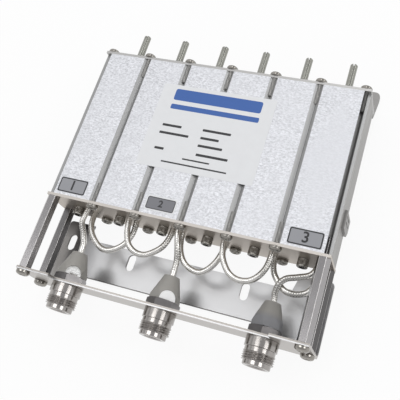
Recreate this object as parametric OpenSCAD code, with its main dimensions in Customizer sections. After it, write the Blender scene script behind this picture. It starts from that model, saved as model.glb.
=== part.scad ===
// Six-cavity mobile duplexer: one extruded housing with six round cavities, closed by two end plates.
// A folded bracket stands in front on four rods and carries three threaded coaxial sockets.
// X runs across the cavities, Y runs from the sockets to the tuning rods, Z = 0 is under the feet.

/* [Housing] */
// Distance between neighbouring cavity axes
pitch = 25.4; // [24.8:0.1:30]
// Bore of each cavity
cavity_d = 22.6; // [20:0.1:23]
// Length of the extruded housing
housing_l = 89.8; // [80:0.1:120]
// Height of the extruded housing
housing_h = 26.1; // [25.6:0.1:32]
// Wall between the outer cavities and the side faces
side_wall = 3.3; // [3:0.1:6]
// Width of the bevelled mouth along each screw groove
groove_w = 3.6; // [3:0.1:4.4]
// Width of the open slot between a groove and its screw channel
slit_w = 2.0; // [1:0.1:2.4]
// Bore of each screw channel
channel_d = 3.0; // [2.6:0.1:3.2]
// Depth of the two rows of plate screws below the top and bottom faces
row_depth = 2.0; // [1.8:0.1:2.6]
// Distance of the corner screw channels from the side faces
corner_in = 3.2; // [2.8:0.1:3.8]
// Depth of the corner screw channels below the top and bottom faces
corner_depth = 2.75; // [2.4:0.05:3.2]
// Width of the step cut along each long edge
step_w = 3.5; // [3.2:0.1:4]

/* [Plates and screws] */
// Thickness of both end plates
plate_t = 1.5; // [1:0.1:3]
// Core diameter of the plate and bracket screws
screw_d = 2.8; // [2.2:0.1:2.8]
// Length of a plate screw below its head
screw_l = 13; // [8:0.5:20]
// Diameter of the plate screws' pan heads
pan_d = 6.4; // [5.4:0.1:7]
// Height of the plate screws' pan heads
pan_h = 2.3; // [1.6:0.1:3]
// Diameter of the cap screws that hold the centre conductors
cap_d = 5.7; // [5:0.1:6.4]
// Height of the cap screws' heads
cap_h = 4.4; // [3:0.1:6]
// Core diameter of the cap screws
cap_core_d = 3.4; // [2.8:0.1:3.6]
// Reach of the cap screws behind the near plate
cap_reach = 8; // [5:0.5:12]

/* [Resonators and tuning] */
// Outer diameter of the centre conductors
post_d = 7.9; // [6.4:0.1:8.2]
// Length of the centre conductors
post_l = 68; // [50:0.5:70]
// Bore at the open end of the centre conductors
post_bore_d = 5.6; // [5:0.1:6]
// Depth of the bore at the open end
post_bore_l = 30; // [24:0.5:34]
// Diameter of the tuning rods
rod_d = 4.2; // [3.6:0.1:4.4]
// Length of a tuning rod outside the far plate
rod_out = 20.9; // [18:0.1:30]
// Overlap of a tuning rod with its centre conductor
rod_in = 14; // [12:0.5:18]
// Width across the flats of the lock nuts
lock_af = 8.7; // [7.6:0.1:9.4]
// Thickness of the lock nuts
lock_t = 3.0; // [2:0.1:3.4]
// Diameter of the threaded bushings in the far plate
bush_d = 7.9; // [6.8:0.1:9]
// Depth of the threaded bushings behind the far plate
bush_l = 6; // [3:0.5:8]

/* [Brackets] */
// Distance from the near plate to the front bracket's flange
standoff_l = 40.6; // [39:0.1:52]
// Diameter of the stand-off rods
standoff_d = 5.9; // [5:0.1:6]
// Sheet thickness of both brackets
sheet_t = 1.5; // [1:0.1:2]
// Drop of the feet below the housing's underside
foot_drop = 10.4; // [8.6:0.1:14]
// Outside radius of the brackets' bends
bend_r = 4.8; // [3:0.1:5.4]
// Length of the front foot, measured from the flange's front face
front_foot_l = 30.8; // [29:0.1:31.5]
// Extra length of the front foot's two wings
wing_l = 8.6; // [6:0.1:9]
// Width of the front foot between its wings
wing_gap = 119.6; // [112:0.2:124]
// Width of the window along the front bracket's bend
window_w = 114.2; // [100:0.2:115]
// Height of the window in the front flange
window_h = 10.8; // [9:0.1:11.5]
// Depth of the window in the front foot
window_l = 9.8; // [7:0.1:10.5]
// Length of the rear foot behind the far plate
rear_foot_l = 18.2; // [16.5:0.1:24]
// Gap between the rear bracket's upper edge and the lock nuts
rear_flange_gap = 1.1; // [0.8:0.1:2]
// Distance of the rear slots' centres from the rear foot's edge
rear_slot_edge = 8.4; // [7.4:0.1:8.8]
// Distance of the inner front slots' centres from the front foot's edge
slot_edge = 6.9; // [6:0.1:8]
// Set-back of the outer front slots behind the inner ones
slot_stagger = 3.3; // [0:0.1:5]
// Length of the mounting slots
slot_l = 9.2; // [7:0.1:10]
// Width of the mounting slots
slot_w = 4.6; // [4:0.1:5]
// Distance between the left and right outer slots
outer_slot_gap = 145; // [142:0.2:148]
// Distance between the left and right inner slots
inner_slot_gap = 66.8; // [60:0.2:80]
// Diameter of the bracket screws' pan heads
bracket_pan_d = 7.2; // [6:0.1:7.6]
// Height of the bracket screws' pan heads
bracket_pan_h = 2.6; // [2:0.1:3.2]
// Length of a bracket screw behind the flange
bracket_screw_l = 8; // [5:0.5:12]

/* [Coaxial sockets] */
// Distance between neighbouring sockets
socket_gap = 54; // [50:0.5:56]
// Depth of the sockets' axes below the housing's top face
socket_depth = 15; // [14:0.1:15.4]
// Thread diameter of the sockets, 5/8-24
thread_d = 15.875; // [15.8:0.005:15.9]
// Reach of the sockets in front of the flange
socket_out = 16; // [15:0.1:20]
// Bore of the sockets' mouths
mouth_d = 8.2; // [8:0.1:8.6]
// Depth of the mouths
mouth_l = 9; // [8.5:0.1:9.5]
// Diameter of the white beads in the sockets
bead_d = 7.0; // [6.4:0.1:7.4]
// Diameter of the sockets' rear threads
tail_d = 12.7; // [11.5:0.1:13]
// Width across the flats of the sockets' rear nuts
nut_af = 15.9; // [15.2:0.1:17]
// Thickness of the sockets' rear nuts
nut_t = 3.1; // [2.4:0.1:4]
// Width across the flats of the cable hoods
hood_af = 15.2; // [14.8:0.1:16]
// Length of the cable hoods
hood_l = 13.7; // [12.5:0.1:14.4]
// Diameter of the cable hoods at their narrow ends
hood_end_d = 8.4; // [7:0.1:9]
// Width of the hoods' round-headed windows
hood_window_w = 8.4; // [6:0.1:8.8]
// Diameter of the coaxial cables
cable_d = 3.2; // [2.6:0.1:3.3]

/* [Hidden] */
$fn = 48;

// A little more than a face, so that a cut clears it
eps = 0.02;
// Running clearance of a round piece in its hole, on the radius
run = 0.05;
// Clearance of a screw in a plate's hole, on the radius
hole_clear = 0.15;

// Widths and heights of the stack
housing_w = 5 * pitch + cavity_d + 2 * side_wall;
top_z = foot_drop + housing_h;
axis_z = foot_drop + housing_h / 2;
socket_z = top_z - socket_depth;

// Stations along Y, so that the whole object is centred on the origin
front_reach = standoff_l + sheet_t + socket_out;
rear_reach = 2 * plate_t + housing_l + rod_out;
near_y = (front_reach - rear_reach) / 2;
housing_y = near_y + plate_t;
far_y = housing_y + housing_l;
rear_y = far_y + plate_t;
flange_y = near_y - standoff_l;
face_y = flange_y - sheet_t;

cavity_x = [for (i = [0:5]) (i - 2.5) * pitch];
groove_x = [for (i = [-2:2]) i * pitch];
row_z = [foot_drop + row_depth, top_z - row_depth];
corner_x = housing_w / 2 - corner_in;
corner_z = [foot_drop + corner_depth, top_z - corner_depth];
socket_x = [-socket_gap, 0, socket_gap];

// Slots of both feet, their centres along Y
inner_slot_y = face_y + front_foot_l - slot_edge;
outer_slot_y = inner_slot_y + slot_stagger;
rear_slot_y = rear_y + rear_foot_l - rear_slot_edge;

// Reach of the sockets' rear threads behind the flange's front face
tail_l = sheet_t + nut_t + 1.5;
// Where the hoods start, their wall and threaded base, and the turn of each hood and nut about its axis
hood_y = flange_y + nut_t;
hood_wall = 1.5;
hood_base_l = 1.5;
hood_turn = [0, 0, -90];
// Diameter of the pins that run through the sockets' beads
contact_pin_d = 1.3;

// The cavity pitch for which the cable ends and routes below are written
route_pitch = 25.4;
// Moves such an X along with its cavity, and evenly where it lies midway between two
function follow(x) = let (c = x / route_pitch + 2.5, k = floor(c))
    x + (pitch - route_pitch) * (k - 2.5 + min(1, max(0, 5 * (c - k) - 2)));
// Where the cables pass the near plate: X and height above the cavity axis
cable_ends = [
    [-58, 0.5], [-55, -3],
    [-32, 2], [-29.5, -2],
    [-7.4, -1], [-3.6, 2.5], [-2.4, -2],
    [22, -3], [22, 2],
    [47.8, 2], [48.3, -2.5],
    [71.5, -3], [71.5, 2]];
cable_holes = [for (e = cable_ends) [follow(e[0]), e[1]]];
// Which cable ends one coupling loop joins, cavity by cavity
loop_pairs = [[0, 1], [2, 3], [4, 6], [7, 8], [9, 10], [11, 12]];
// The antenna cable's end and the loop leg that it joins
antenna_end = [5, 6];
loop_l = 16;
wire_d = 1.0;

// The last points of a port's cable: in line with its socket, from outside the hood into it
port_z = socket_z - axis_z;
hood_end = nut_t + hood_l - standoff_l;
function port_end(i) = [for (reach = [-1.8, 3.2, 9.7]) [socket_x[i], hood_end - reach, port_z]];

// Cable routes: X, distance from the near plate's front face, height above the cavity axis
high_port_route = [[-58, 1.5, 0.5], [-58.6, -3, 0.5], [-58.6, -8, 0.5], [-56.2, -13, -0.5],
    [-54.3, -18, -1.5]];
antenna_route = [[-3.6, 1.5, 2.5], [-2.6, -4, 2.2], [-1, -10, 1], [0, -16, -1]];
low_port_route = [[71.5, 1.5, 2], [71.5, -3, 2], [69, -7.5, 2], [63.3, -9.8, 1.5], [57.9, -11.8, 1.5],
    [55, -15, 1], [53.8, -19, -1]];
jumper_route_1 = [[-55, 1.5, -3], [-55, -3, -2.7], [-53.8, -8.5, -2.2], [-50.5, -13.5, -2], [-44.6, -18, -2],
    [-38.9, -18.6, -2], [-32.5, -14.5, -2], [-29.3, -8, -2], [-29, -3, -2], [-29.5, 1.5, -2]];
jumper_route_2 = [[-32, 1.5, 2], [-31.6, -3, 2], [-30.3, -8.5, 2], [-27.3, -14, 2], [-22.5, -17, 1.7],
    [-17, -17, 1.3], [-12, -13.5, 0.7], [-9, -9.5, 0.2], [-7.6, -4, -0.6], [-7.4, 1.5, -1]];
jumper_route_3 = [[-2.4, 1.5, -2], [-1.9, -4, -2.3], [0.2, -10.7, -2.5], [4.8, -16.2, -2.5], [11.9, -18.4, -2.5],
    [16.5, -16, -2.5], [20, -10.5, -2.7], [21.6, -4, -3], [22, 1.5, -3]];
jumper_route_4 = [[22, 1.5, 2], [22.6, -4, 2], [24.2, -9.5, 2], [28.8, -15.5, 2], [34, -18, 2],
    [39.5, -17.6, 2], [43.6, -14.8, 2], [46.6, -9.8, 2], [47.7, -4, 2], [47.8, 1.5, 2]];
jumper_route_5 = [[48.3, 1.5, -2.5], [48.8, -4, -2.5], [50.2, -9, -2.5], [53, -12.8, -2.5], [57.6, -16.8, -2.5],
    [63.5, -17.3, -2.5], [69, -14.8, -2.5], [71.6, -9, -2.7], [71.8, -3.5, -3], [71.5, 1.5, -3]];
// Sides of a cable's section and number of its stretches
cable_sides = 8;
cable_rings = 13;

// Colours as the photograph shows them
c_extrusion = [0.86, 0.86, 0.88];
c_plate = [0.63, 0.59, 0.54];
c_sheet = [0.66, 0.65, 0.62];
c_steel = [0.45, 0.45, 0.47];
c_nickel = [0.56, 0.54, 0.50];
c_copper = [0.78, 0.50, 0.34];
c_brass = [0.76, 0.65, 0.38];
c_zinc = [0.54, 0.53, 0.50];
c_cable = [0.70, 0.69, 0.66];
c_white = [0.95, 0.95, 0.94];

// Turns a shape that stands on Z so that its axis runs to +Y or -Y
module along_y(y) {
    translate([0, y, 0]) rotate([-90, 0, 0]) children();
}

module against_y(y) {
    translate([0, y, 0]) rotate([90, 0, 0]) children();
}

// A pan head of diameter d and height h with a cross recess, on a shank of length l that runs down from Z = 0
module pan_screw(d, h, l) {
    rim = h * 0.45;
    recess_w = d * 0.16;
    recess_l = d * 0.56;
    difference() {
        rotate_extrude()
            polygon(concat([[0, -l], [screw_d / 2, -l], [screw_d / 2, 0], [d / 2, 0], [d / 2, rim]],
                [for (a = [15:15:75]) [d / 2 * (0.55 + 0.45 * cos(a)), rim + (h - rim) * sin(a)]],
                [[d * 0.25, h], [0, h]]));
        translate([-recess_l / 2, -recess_w / 2, h * 0.45]) cube([recess_l, recess_w, h]);
        translate([-recess_w / 2, -recess_l / 2, h * 0.45]) cube([recess_w, recess_l, h]);
    }
}

// The extrusion's end view: X across, Y up, centred on the cavity row
module housing_profile() {
    difference() {
        square([housing_w, housing_h], center = true);
        for (x = cavity_x) translate([x, 0]) circle(d = cavity_d, $fn = 96);
        for (side = [0, 1]) mirror([0, side]) {
            for (x = groove_x) translate([x, housing_h / 2]) groove_cut();
            for (end = [0, 1]) mirror([end, 0]) translate([housing_w / 2, housing_h / 2]) corner_cut();
        }
    }
}

// A screw channel, its slit and its bevelled mouth, measured from the face above it
module groove_cut() {
    bevel = (groove_w - slit_w) / 2;
    translate([0, -row_depth]) circle(d = channel_d);
    translate([-slit_w / 2, -row_depth]) square([slit_w, row_depth + 1]);
    polygon([[-slit_w / 2, -bevel], [slit_w / 2, -bevel], [groove_w / 2 + 1, 1], [-groove_w / 2 - 1, 1]]);
}

// The step along a long edge and the corner screw channel that opens into it
module corner_cut() {
    translate([-step_w, -corner_depth]) square([step_w + 1, corner_depth + 1]);
    translate([-corner_in, -corner_depth]) circle(d = channel_d);
}

module cavity_housing() {
    color(c_extrusion)
        translate([0, housing_y + housing_l, axis_z])
            rotate([90, 0, 0])
                linear_extrude(housing_l) housing_profile();
}

// An end plate's outline with its screw holes; the plate lies from y to y + plate_t
module plate_blank(y) {
    difference() {
        translate([-housing_w / 2, y, foot_drop]) cube([housing_w, plate_t, housing_h]);
        for (x = groove_x, z = row_z)
            translate([x, 0, z]) along_y(y - 1) cylinder(d = screw_d + 2 * hole_clear, h = plate_t + 2);
        for (x = [-corner_x, corner_x], z = corner_z)
            translate([x, 0, z]) along_y(y - 1) cylinder(d = screw_d + 2 * hole_clear, h = plate_t + 2);
    }
}

module near_end_plate() {
    color(c_plate) difference() {
        plate_blank(near_y);
        for (x = cavity_x)
            translate([x, 0, axis_z]) along_y(near_y - 1)
                cylinder(d = cap_core_d + 2 * hole_clear, h = plate_t + 2);
        for (e = cable_holes)
            translate([e[0], 0, axis_z + e[1]]) along_y(near_y - 1)
                cylinder(d = cable_d + 2 * hole_clear, h = plate_t + 2);
    }
}

module far_end_plate() {
    color(c_plate) difference() {
        plate_blank(far_y);
        for (x = cavity_x)
            translate([x, 0, axis_z]) along_y(far_y - 1) cylinder(d = bush_d, h = plate_t + 2);
    }
}

// A centre conductor: a tube with a tapped foot on the near plate and an open end that the tuning rod enters
module resonator(i) {
    color(c_copper) translate([cavity_x[i], 0, axis_z]) difference() {
        along_y(housing_y) cylinder(d = post_d, h = post_l);
        along_y(housing_y - eps) cylinder(d = cap_core_d + 2 * run, h = cap_reach + 2);
        along_y(housing_y + post_l - post_bore_l) cylinder(d = post_bore_d, h = post_bore_l + 1);
    }
}

// A tuning rod: threaded stem, rounded tip with a screwdriver slot
module tuning_rod(i) {
    tip_r = 1;
    slot_depth = 1.6;
    slot_t = 0.9;
    start_y = housing_y + post_l - rod_in;
    rod_l = rear_y + rod_out - start_y;
    color(c_nickel) translate([cavity_x[i], 0, axis_z]) difference() {
        along_y(start_y) rotate_extrude()
            polygon(concat([[0, 0], [rod_d / 2 - 0.4, 0], [rod_d / 2, 0.4], [rod_d / 2, rod_l - tip_r]],
                [for (a = [15:15:90]) [rod_d / 2 - tip_r * (1 - cos(a)), rod_l - tip_r + tip_r * sin(a)]],
                [[0, rod_l]]));
        translate([-slot_t / 2, start_y + rod_l - slot_depth, -rod_d]) cube([slot_t, slot_depth + 1, 2 * rod_d]);
    }
}

// Bushings pressed into the far plate, with a collar inside the cavity
module tuning_bushings() {
    collar_t = 1.2;
    color(c_brass) for (x = cavity_x)
        translate([x, 0, axis_z]) difference() {
            union() {
                along_y(far_y - bush_l) cylinder(d = bush_d, h = bush_l + plate_t);
                along_y(far_y - collar_t) cylinder(d = bush_d + 2, h = collar_t);
            }
            along_y(far_y - bush_l - 1) cylinder(d = rod_d + 2 * run, h = bush_l + plate_t + 2);
        }
}

module tuning_lock_nuts() {
    bevel = 0.5;
    corner_r = lock_af / sqrt(3);
    color(c_nickel) for (x = cavity_x)
        translate([x, 0, axis_z]) difference() {
            intersection() {
                along_y(rear_y) rotate([0, 0, 30]) cylinder(r = corner_r, h = lock_t, $fn = 6);
                along_y(rear_y) rotate_extrude()
                    polygon([[0, 0], [corner_r + 0.1, 0], [corner_r + 0.1, lock_t - bevel],
                        [corner_r - 2 * bevel, lock_t], [0, lock_t]]);
            }
            along_y(rear_y - 1) cylinder(d = rod_d + 2 * run, h = lock_t + 2);
        }
}

// One wire loop between the cable ends a and b, standing in its cavity
module wire_loop(a, b) {
    dx = b[0] - a[0];
    dz = b[1] - a[1];
    half = sqrt(dx * dx + dz * dz) / 2;
    translate([(a[0] + b[0]) / 2, housing_y, axis_z + (a[1] + b[1]) / 2])
        rotate([0, -atan2(dz, dx), 0]) {
            for (s = [-1, 1]) translate([s * half, 0, 0]) along_y(0) cylinder(d = wire_d, h = loop_l, $fn = 24);
            translate([0, loop_l, 0])
                rotate_extrude(angle = 180) translate([half, 0]) circle(d = wire_d, $fn = 24);
        }
}

// The antenna cable's wire from its end a, with a link to the loop's leg at b
module wire_branch(a, b, reach) {
    dx = b[0] - a[0];
    dz = b[1] - a[1];
    translate([a[0], 0, axis_z + a[1]]) {
        along_y(housing_y) cylinder(d = wire_d, h = reach + wire_d, $fn = 24);
        translate([0, housing_y + reach, 0]) rotate([0, atan2(dx, dz), 0])
            cylinder(d = wire_d * 0.8, h = sqrt(dx * dx + dz * dz), $fn = 24);
    }
}

module coupling_loops() {
    color(c_copper) {
        for (p = loop_pairs) wire_loop(cable_holes[p[0]], cable_holes[p[1]]);
        wire_branch(cable_holes[antenna_end[0]], cable_holes[antenna_end[1]], loop_l / 2);
    }
}

module near_plate_screws() {
    color(c_steel) for (x = groove_x, z = row_z)
        translate([x, 0, z]) against_y(near_y) pan_screw(pan_d, pan_h, screw_l);
}

// The lower row also holds the rear bracket, so its heads stand one sheet further out
module far_plate_screws() {
    rows = [[row_z[0], corner_z[0], sheet_t], [row_z[1], corner_z[1], 0]];
    color(c_steel) for (row = rows) {
        for (x = groove_x) translate([x, 0, row[0]]) along_y(rear_y + row[2]) pan_screw(pan_d, pan_h, screw_l);
        for (x = [-corner_x, corner_x])
            translate([x, 0, row[1]]) along_y(rear_y + row[2]) pan_screw(pan_d, pan_h, screw_l);
    }
}

module resonator_screws() {
    socket_af = 2.8;
    socket_l = 2.2;
    color(c_steel) for (x = cavity_x)
        translate([x, 0, axis_z]) difference() {
            union() {
                against_y(near_y) cylinder(d = cap_d, h = cap_h);
                along_y(near_y - eps) cylinder(d = cap_core_d, h = plate_t + cap_reach);
            }
            against_y(near_y - cap_h + socket_l) cylinder(d = socket_af * 2 / sqrt(3), h = socket_l + 1, $fn = 6);
        }
}

// A stand-off rod: a stud screws into the housing's corner, a tapped end takes the bracket's screw
module standoff(x, z) {
    stud_l = 9;
    color(c_steel) translate([x, 0, z]) difference() {
        union() {
            against_y(near_y) cylinder(d = standoff_d, h = standoff_l);
            along_y(near_y - eps) cylinder(d = screw_d, h = plate_t + stud_l);
        }
        along_y(flange_y - 1) cylinder(d = screw_d + 2 * run, h = bracket_screw_l + 2);
    }
}

// A slot of the feet, cut along Y at [x, y]
module foot_slot(x, y) {
    straight = slot_l - slot_w;
    for (s = [-1, 1]) translate([x, y + s * straight / 2, -1]) cylinder(d = slot_w, h = sheet_t + 2);
    translate([x - slot_w / 2, y - straight / 2, -1]) cube([slot_w, straight, sheet_t + 2]);
}

// Side view of a folded sheet in Y and Z: an upright of height h, a bend, and a foot of length l
module fold_profile(h, l) {
    difference() {
        union() {
            translate([0, bend_r]) square([sheet_t, h - bend_r]);
            translate([bend_r, 0]) square([l - bend_r, sheet_t]);
            intersection() {
                translate([bend_r, bend_r]) circle(r = bend_r, $fn = 64);
                square([bend_r, bend_r]);
            }
        }
        translate([bend_r, bend_r]) circle(r = bend_r - sheet_t, $fn = 64);
    }
}

// A folded sheet of width w whose upright's outer face lies at y
module folded_sheet(w, h, l, y) {
    translate([-w / 2, y, 0]) rotate([90, 0, 90]) linear_extrude(w) fold_profile(h, l);
}

module front_bracket() {
    back_y = face_y + front_foot_l;
    slant = 2.2;
    foot_r = 2;
    color(c_sheet) difference() {
        folded_sheet(housing_w, top_z, front_foot_l + wing_l, face_y);
        // Foot between the wings, with slanted ends
        translate([0, back_y, -1]) linear_extrude(sheet_t + 2)
            polygon([[-wing_gap / 2 + slant, 0], [wing_gap / 2 - slant, 0],
                [wing_gap / 2, wing_l], [wing_gap / 2, wing_l + 5], [-wing_gap / 2, wing_l + 5], [-wing_gap / 2, wing_l]]);
        // Window along the bend
        translate([-window_w / 2, face_y - 1, -1]) cube([window_w, window_l + 1, window_h + 1]);
        // Mounting slots
        for (s = [-1, 1]) {
            foot_slot(s * outer_slot_gap / 2, outer_slot_y);
            foot_slot(s * inner_slot_gap / 2, inner_slot_y);
        }
        // Rounded corners at the wings' ends
        for (s = [0, 1]) mirror([s, 0, 0]) translate([housing_w / 2, back_y + wing_l, 0]) corner_round(foot_r);
        // Screw and socket holes
        for (x = [-corner_x, corner_x], z = corner_z)
            translate([x, 0, z]) along_y(face_y - 1) cylinder(d = screw_d + 2 * hole_clear, h = sheet_t + 2);
        for (x = socket_x)
            translate([x, 0, socket_z]) along_y(face_y - 1) cylinder(d = tail_d + 2 * hole_clear, h = sheet_t + 2);
    }
}

// Removes the square corner of a foot outside a quarter circle of radius r
module corner_round(r) {
    translate([-r, -r, -1]) difference() {
        cube([r + 1, r + 1, sheet_t + 2]);
        translate([0, 0, -1]) cylinder(r = r, h = sheet_t + 4);
    }
}

module front_bracket_screws() {
    color(c_steel) for (x = [-corner_x, corner_x], z = corner_z)
        translate([x, 0, z]) against_y(face_y) pan_screw(bracket_pan_d, bracket_pan_h, sheet_t + bracket_screw_l);
}

module rear_bracket() {
    foot_r = 3;
    rear_flange_h = axis_z - lock_af / sqrt(3) - rear_flange_gap;
    color(c_sheet) difference() {
        folded_sheet(housing_w, rear_flange_h, rear_foot_l, rear_y);
        for (s = [-1, 1]) {
            foot_slot(s * outer_slot_gap / 2, rear_slot_y);
            foot_slot(s * inner_slot_gap / 2, rear_slot_y);
        }
        for (s = [0, 1]) mirror([s, 0, 0]) translate([housing_w / 2, rear_y + rear_foot_l, 0]) corner_round(foot_r);
        for (x = groove_x)
            translate([x, 0, row_z[0]]) along_y(rear_y - 1) cylinder(d = screw_d + 2 * hole_clear, h = sheet_t + 2);
        for (x = [-corner_x, corner_x])
            translate([x, 0, corner_z[0]]) along_y(rear_y - 1) cylinder(d = screw_d + 2 * hole_clear, h = sheet_t + 2);
    }
}

// A small folded clip on the right wall, hooked under the housing
module side_clip() {
    clip_w = 9.6;
    clip_t = 1.2;
    clip_h = 15;
    hook_l = 6;
    clip_start = 17.7;
    nose = 3;
    slit = 0.7;
    color(c_sheet) translate([housing_w / 2, housing_y + clip_start, foot_drop - clip_t]) difference() {
        union() {
            cube([clip_t, clip_w, clip_h + clip_t]);
            translate([-hook_l, nose, 0]) cube([hook_l + eps, clip_w - nose, clip_t]);
        }
        for (y = [clip_w * 0.4, clip_w * 0.72])
            translate([-1, y, clip_t + 3]) cube([clip_t + 2, slit, clip_h - 5]);
        rotate([45, 0, 0]) cube([3 * clip_t, nose * sqrt(2), nose * sqrt(2)], center = true);
    }
}

// A socket's turned body: u is measured outwards from the flange's front face
module socket_body(i) {
    shoulder_d = 16.4;
    shoulder_l = 4.9;
    neck_d = 15.0;
    thread_l = 5.4;
    lead_l = 1.6;
    lead_d = 14.2;
    thread_u = socket_out - lead_l - thread_l;
    profile = [[bead_d / 2, -tail_l], [tail_d / 2, -tail_l], [tail_d / 2, 0],
        [shoulder_d / 2, 0], [shoulder_d / 2, shoulder_l - 0.6], [neck_d / 2, shoulder_l],
        [neck_d / 2, thread_u], [thread_d / 2, thread_u], [thread_d / 2, thread_u + thread_l],
        [lead_d / 2, thread_u + thread_l], [lead_d / 2, socket_out - 0.5], [lead_d / 2 - 0.5, socket_out],
        [mouth_d / 2 + 0.8, socket_out], [mouth_d / 2, socket_out - 0.8],
        [mouth_d / 2, socket_out - mouth_l], [bead_d / 2, socket_out - mouth_l]];
    color(c_nickel) translate([socket_x[i], 0, socket_z]) against_y(face_y)
        rotate_extrude($fn = 64) polygon(profile);
}

module socket_nut(i) {
    bevel = 0.5;
    corner_r = nut_af / sqrt(3);
    color(c_steel) translate([socket_x[i], 0, socket_z]) rotate([0, hood_turn[i], 0]) difference() {
        intersection() {
            along_y(flange_y) cylinder(r = corner_r, h = nut_t, $fn = 6);
            along_y(flange_y) rotate_extrude()
                polygon([[0, 0], [corner_r + 0.1, 0], [corner_r + 0.1, nut_t - bevel],
                    [corner_r - 2 * bevel, nut_t], [0, nut_t]]);
        }
        along_y(flange_y - 1) cylinder(d = tail_d + 2 * run, h = nut_t + 2);
    }
}

// The white bead that fills a socket's bore and carries its contact
module socket_insulator(i) {
    bead_l = socket_out - mouth_l + tail_l + 1;
    front_y = face_y - (socket_out - mouth_l);
    color(c_white) translate([socket_x[i], 0, socket_z]) difference() {
        along_y(front_y) cylinder(d = bead_d, h = bead_l);
        along_y(front_y - 1) cylinder(d = contact_pin_d, h = bead_l + 2);
    }
}

// The centre contact: a slotted socket in the mouth on a pin through the bead
module centre_contact(i) {
    contact_d = 3.04;
    contact_l = 4.0;
    contact_bore_d = 1.64;
    front_y = face_y - (socket_out - mouth_l);
    pin_l = socket_out - mouth_l + tail_l + 2;
    color(c_brass) translate([socket_x[i], 0, socket_z]) difference() {
        union() {
            against_y(front_y) cylinder(d = contact_d, h = contact_l);
            along_y(front_y - eps) cylinder(d = contact_pin_d, h = pin_l);
        }
        against_y(front_y - 0.6) cylinder(d = contact_bore_d, h = contact_l);
        for (a = [0, 90]) rotate([0, a, 0])
            translate([-contact_d, front_y - contact_l - 1, -0.15]) cube([2 * contact_d, contact_l - 0.2, 0.3]);
    }
}

// The space inside a hood, from its threaded base to the cable
module hood_hollow(gap) {
    inner_d = hood_af - 2 * hood_wall - 1;
    mid_l = 4.5;
    along_y(hood_y + hood_base_l + gap) cylinder(d = inner_d - 2 * gap, h = mid_l - 2 * gap);
    along_y(hood_y + hood_base_l + mid_l - 2 * gap) cylinder(d1 = inner_d - 2 * gap, d2 = cable_d + 1,
        h = hood_l - hood_base_l - mid_l - hood_wall + gap);
}

// The round-headed window through a hood's upper side
module hood_window(r) {
    window_y = hood_y + 2.1;
    difference() {
        translate([0, window_y, 0]) cylinder(r = r, h = hood_af);
        translate([-r - 1, window_y - 2 * r, -1]) cube([2 * r + 2, 2 * r, hood_af + 2]);
    }
}

// A hood's outside, a hexagonal bar turned to a cone, smaller all round by inset
module hood_outside(inset) {
    base_r = (hood_af / 2 - inset) * 2 / sqrt(3);
    intersection() {
        along_y(hood_y) cylinder(r = base_r, h = hood_l, $fn = 6);
        along_y(hood_y) cylinder(r1 = base_r, r2 = hood_end_d / 2 - inset, h = hood_l);
    }
}

module cable_hood(i) {
    color(c_zinc) translate([socket_x[i], 0, socket_z]) rotate([0, hood_turn[i], 0]) difference() {
        hood_outside(0);
        along_y(hood_y - 1) cylinder(d = tail_d + 2 * run, h = hood_base_l + 1 + eps);
        hood_hollow(0);
        along_y(hood_y) cylinder(d = cable_d + 2 * hole_clear, h = hood_l + 1);
        hood_window(hood_window_w / 2);
    }
}

// White sealing compound that fills a hood and shows in its window
module hood_seal(i) {
    color(c_white) translate([socket_x[i], 0, socket_z]) rotate([0, hood_turn[i], 0]) difference() {
        union() {
            hood_hollow(0.05);
            intersection() {
                hood_window(hood_window_w / 2 - run);
                hood_outside(0.6);
            }
        }
        along_y(hood_y - 1) cylinder(d = bead_d + 0.4, h = 4);
        along_y(hood_y) cylinder(d = cable_d + 2 * hole_clear, h = hood_l + 1);
    }
}

// A point at t from 0 to 1 along a smooth curve through the points p
function curve_point(p, t) =
    let (n = len(p) - 1,
        s = min(n - 0.000001, max(0, t * n)),
        k = floor(s),
        f = s - k,
        a = p[max(0, k - 1)],
        b = p[k],
        c = p[k + 1],
        d = p[min(n, k + 2)])
    0.5 * (2 * b + (c - a) * f + (2 * a - 5 * b + 4 * c - d) * f * f + (3 * b - a - 3 * c + d) * f * f * f);

function unit(v) = v / norm(v);

// A round cable along the route, and on into a socket's hood where end gives those points
module cable(route, end = []) {
    p = concat([for (v = route) [follow(v[0]), v[1], v[2]]], end);
    points = [for (i = [0:cable_rings]) curve_point(p, i / cable_rings)];
    last = cable_rings;
    dirs = [for (i = [0:last])
        i == 0 ? [0, -1, 0] : i == last && p[len(p) - 1][1] > 0 ? [0, 1, 0] :
        unit(points[min(last, i + 1)] - points[max(0, i - 1)])];
    rings = [for (i = [0:last])
        let (side = unit(cross(dirs[i], [0, 0, 1])), up = cross(side, dirs[i]))
        for (j = [0:cable_sides - 1])
            let (a = 360 * (j + 0.5) / cable_sides)
            points[i] + cable_d / 2 * (cos(a) * side + sin(a) * up)];
    walls = [for (i = [0:last - 1], j = [0:cable_sides - 1])
        let (a = i * cable_sides + j, b = i * cable_sides + (j + 1) % cable_sides)
        [a, b, b + cable_sides, a + cable_sides]];
    near_cap = [for (j = [cable_sides - 1:-1:0]) j];
    far_cap = [for (j = [0:cable_sides - 1]) last * cable_sides + j];
    color(c_cable) translate([0, near_y, axis_z])
        polyhedron(points = rings, faces = concat(walls, [near_cap, far_cap]), convexity = 6);
}

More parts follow.
